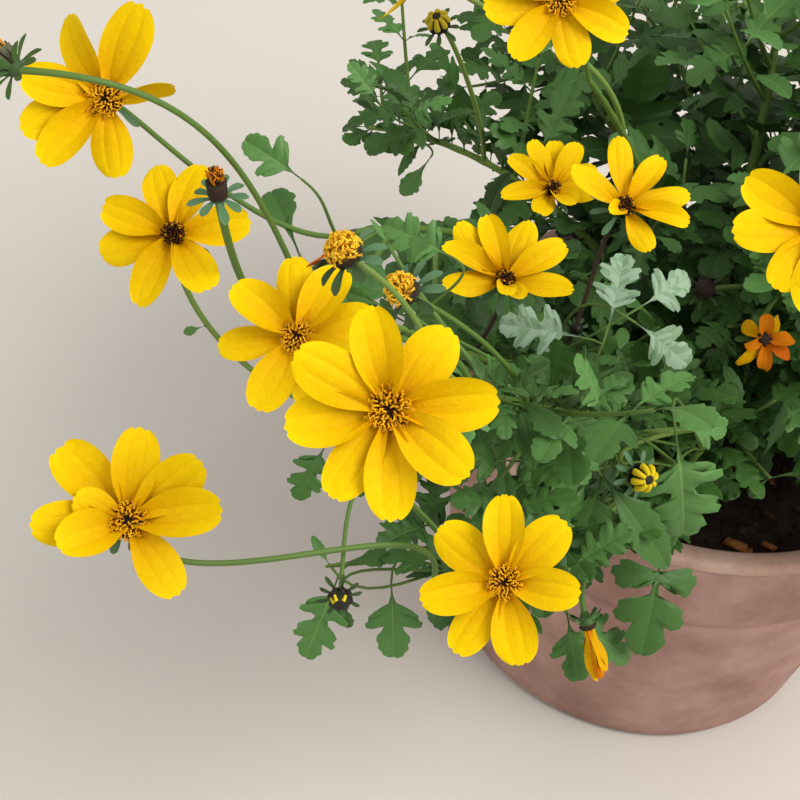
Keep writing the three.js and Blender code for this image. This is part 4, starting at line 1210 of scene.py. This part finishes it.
def inner_radius(z):
    return FOOT_RADIUS - WALL + 17 * z / POT_HEIGHT


def smooth_profile(corners, step):
    """The same outline with more points on its long sides."""
    made = [corners[0]]
    for (r0, z0), (r1, z1) in zip(corners, corners[1:]):
        count = max(1, int(math.hypot(r1 - r0, z1 - z0) / step))
        made += [(between(r0, r1, i / count), between(z0, z1, i / count)) for i in range(1, count + 1)]
    return made


def pot_wobble(radius, z, turn):
    if radius < 1:
        return radius
    x, y = math.cos(turn) * 60, math.sin(turn) * 60
    return radius - 0.25 - 0.22 * rough(x, y, z, 30) - 0.06 * math.sin(z * 1.1)


def crown_wobble(radius, z, turn):
    x, y = math.cos(turn) * 8, math.sin(turn) * 8
    return radius * (0.93 + 0.1 * rough(x, y, z, 6) + 0.05 * math.sin(7 * turn + z * 0.08))


POT_OUTLINE = smooth_profile([
    (0, 0.3), (79, 0.3), (81.6, 0.9), (83, 2.8), (96.8, 92.6), (96.5, 94), (95.6, 95), (95.3, 96), (96, 97.2),
    (97.7, 98.2), (98.3, 99.6), (98.8, 103), (98.9, 129.6), (98.6, 130.4), (99.3, 131.2), (100, 132.6),
    (100.1, 134), (99.9, 135.4), (99.2, 136.5), (98, 137), (96, 137.1), (93.8, 137), (92.6, 136.4),
    (92, 135.2), (inner_radius(126), 126), (inner_radius(9), 9), (0, 9),
], 5)
POT_SIDES = 160
LIP_FOOT = 130.6
pot = Cluster()
# Faces above the lip's foot take the lighter lip finish, the painted highlight.
on_lip = [int(low + high > 2 * LIP_FOOT) for (_, low), (_, high) in zip(POT_OUTLINE, POT_OUTLINE[1:])]
lathe(pot, POT_OUTLINE, POT_SIDES, pot_wobble, np.repeat(on_lip, POT_SIDES))
pot.object("pot_body", [TERRACOTTA, PAINTED_LIP_HIGHLIGHT], "terracotta", ["pot"])

crown = Cluster()
lathe(crown, smooth_profile([(0.01, 119), (14, 119), *CROWN_PROFILE, (0.01, 154)], 1.2), 48, crown_wobble)
crown.object("crown_bark", [BARK], "crown", ["crown"])

SOIL_RINGS = 46
SOIL_SIDES = 150
SOIL_RADIUS = inner_radius(117)


def soil_level(x, y):
    out = math.hypot(x, y) / (RIM_RADIUS - WALL)
    return COMPOST_TOP - 1.6 - 2.6 * out ** 6 + 1.4 * rough(x, y, 3, 16) + 0.9 * rough(x, y, 9, 4)


soil_rings = [((SOIL_RADIUS - 0.5) * r / SOIL_RINGS + 0.01, None) for r in range(SOIL_RINGS + 1)]
soil_rings += [(inner_radius(60) - 0.5, 60), (inner_radius(9.4) - 0.5, 9.4), (0, 9.4)]
soil_points = []
for reach, z in soil_rings:
    for k in range(SOIL_SIDES):
        turn = FULL_TURN * k / SOIL_SIDES
        x, y = reach * math.cos(turn), reach * math.sin(turn)
        soil_points.append((x, y, soil_level(x, y) if z is None else z))
soil = Cluster()
soil.add(soil_points, grid_faces(len(soil_rings), SOIL_SIDES, True))
soil.object("compost_soil", [SOIL], "compost", ["compost"])

CUBE = np.array([(x, y, z) for x in (-1, 1) for y in (-1, 1) for z in (-1, 1)], float)
CUBE_QUADS = [(0, 1, 3, 2), (4, 6, 7, 5), (0, 4, 5, 1), (2, 3, 7, 6), (0, 2, 6, 4), (1, 5, 7, 3)]
BALL = np.array([(0, 0, 1), *[(0.85 * math.cos(a * 1.047 + start), 0.85 * math.sin(a * 1.047 + start), z)
                              for start, z in ((0, 0.45), (0.5, -0.45)) for a in range(6)], (0, 0, -1)])
AROUND = [(a, (a + 1) % 6) for a in range(6)]
BALL_FACES = [(0, 1 + a, 1 + b) for a, b in AROUND] + [(1 + a, 7 + a, 1 + b) for a, b in AROUND]
BALL_FACES += [(1 + b, 7 + a, 7 + b) for a, b in AROUND] + [(13, 7 + b, 7 + a) for a, b in AROUND]

CRUMBS = 1700
CHIPS = 46
CROWN_ROOM = 15
crumbs = Cluster()
dice = np.random.default_rng(7)


def scattered(middle, margin):
    """A chance place on the compost."""
    turn, out = dice.uniform(0, FULL_TURN), math.sqrt(dice.uniform(middle, 1)) * (SOIL_RADIUS - margin)
    return out * math.cos(turn), out * math.sin(turn)


def add_chip(x, y, size, turn, tilt, smallest, above, number):
    spin = Matrix.Rotation(turn, 3, "Z") @ Matrix.Rotation(tilt, 3, "X")
    points = (CUBE * dice.uniform(smallest, 1.1, (8, 3)) * size) @ np.array(spin)
    crumbs.add(points + (x, y, soil_level(x, y) + above), CUBE_QUADS, number)


for i in range(CRUMBS):
    x, y = scattered(0.02, 3)
    if math.hypot(x, y) < CROWN_ROOM:
        continue
    size = 0.35 + 1.5 * dice.uniform() ** 3
    spin = Matrix.Rotation(dice.uniform(0, 6.28), 3, Vector(dice.normal(size=3)).normalized())
    points = (BALL * size * dice.uniform(0.7, 1.2, (14, 3)) * (1, 0.75, 0.6)) @ np.array(spin)
    points = points + (x, y, soil_level(x, y) + size * 0.2)
    crumbs.add(points, (), CRUMB_BROWN if dice.uniform() > 0.62 else 0, BALL_FACES)
for i in range(CHIPS):
    x, y = scattered(0.06, 6)
    size = (dice.uniform(1.6, 4.4), dice.uniform(0.9, 1.8), dice.uniform(0.35, 0.7))
    turn, tilt = dice.uniform(0, 6.28), dice.uniform(-0.4, 0.4)
    add_chip(x, y, size, turn, tilt, 0.7, 0.5, CRUMB_BROWN if i % 7 else BARK_CHIP)
SHOWN_CHIPS = [(17, -73, (4.6, 2.6, 0.8)), (22, -76, (3.2, 2, 0.6)), (12, -79, (2.6, 1.3, 0.5)),
               (30, -70, (3, 1.2, 0.6))]
for i, (x, y, size) in enumerate(SHOWN_CHIPS):
    add_chip(x, y, size, 1.1 * i + 0.4, 0.25, 0.75, 1.2, BARK_CHIP)
crumbs.object("compost_crumbs", CRUMB_FINISHES, "compost", ["compost"])


# Floor, light and camera

scene = bpy.context.scene
floor_mesh = bpy.data.meshes.new("floor")
floor_mesh.from_pydata([(-4, -4, 0), (4, -4, 0), (4, 4, 0), (-4, 4, 0)], [], [(0, 1, 2, 3)])
floor_mesh.materials.append(finish("floor_pale", (196, 190, 182), 0.9, 0.1, 60))
floor = bpy.data.objects.new("floor", floor_mesh)
scene.collection.objects.link(floor)
floor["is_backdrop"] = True

world = bpy.data.worlds.new("soft_sky")
world.use_nodes = True
world.node_tree.nodes["Background"].inputs["Color"].default_value = (1, 0.985, 0.96, 1)
world.node_tree.nodes["Background"].inputs["Strength"].default_value = 0.75
scene.world = world


def area_light(name, spot, size, power, colour):
    """A square lamp that points at the plant."""
    lamp = bpy.data.lights.new(name, "AREA")
    lamp.shape = "SQUARE"
    lamp.size = size
    lamp.energy = power
    lamp.color = colour
    holder = bpy.data.objects.new(name, lamp)
    holder.location = spot
    holder.rotation_euler = (Vector((0, 0, 0.2)) - spot).to_track_quat("-Z", "Y").to_euler()
    scene.collection.objects.link(holder)


area_light("key", LIGHT_PLACE * MM, 2.0, 112, (1, 0.985, 0.95))
area_light("fill", Vector((-2.2, -1.2, 2.2)), 2.4, 22, (1, 1, 1))

lens = bpy.data.cameras.new("camera")
lens.lens = LENS
lens.sensor_width = 36
camera = bpy.data.objects.new("camera", lens)
camera_axes = Matrix((CAMERA_RIGHT, CAMERA_UP, -CAMERA_WAY)).transposed()
camera.matrix_world = Matrix.Translation(CAMERA_PLACE * MM) @ camera_axes.to_4x4()
scene.collection.objects.link(camera)
scene.camera = camera
scene.view_settings.view_transform = "Standard"

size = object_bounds()
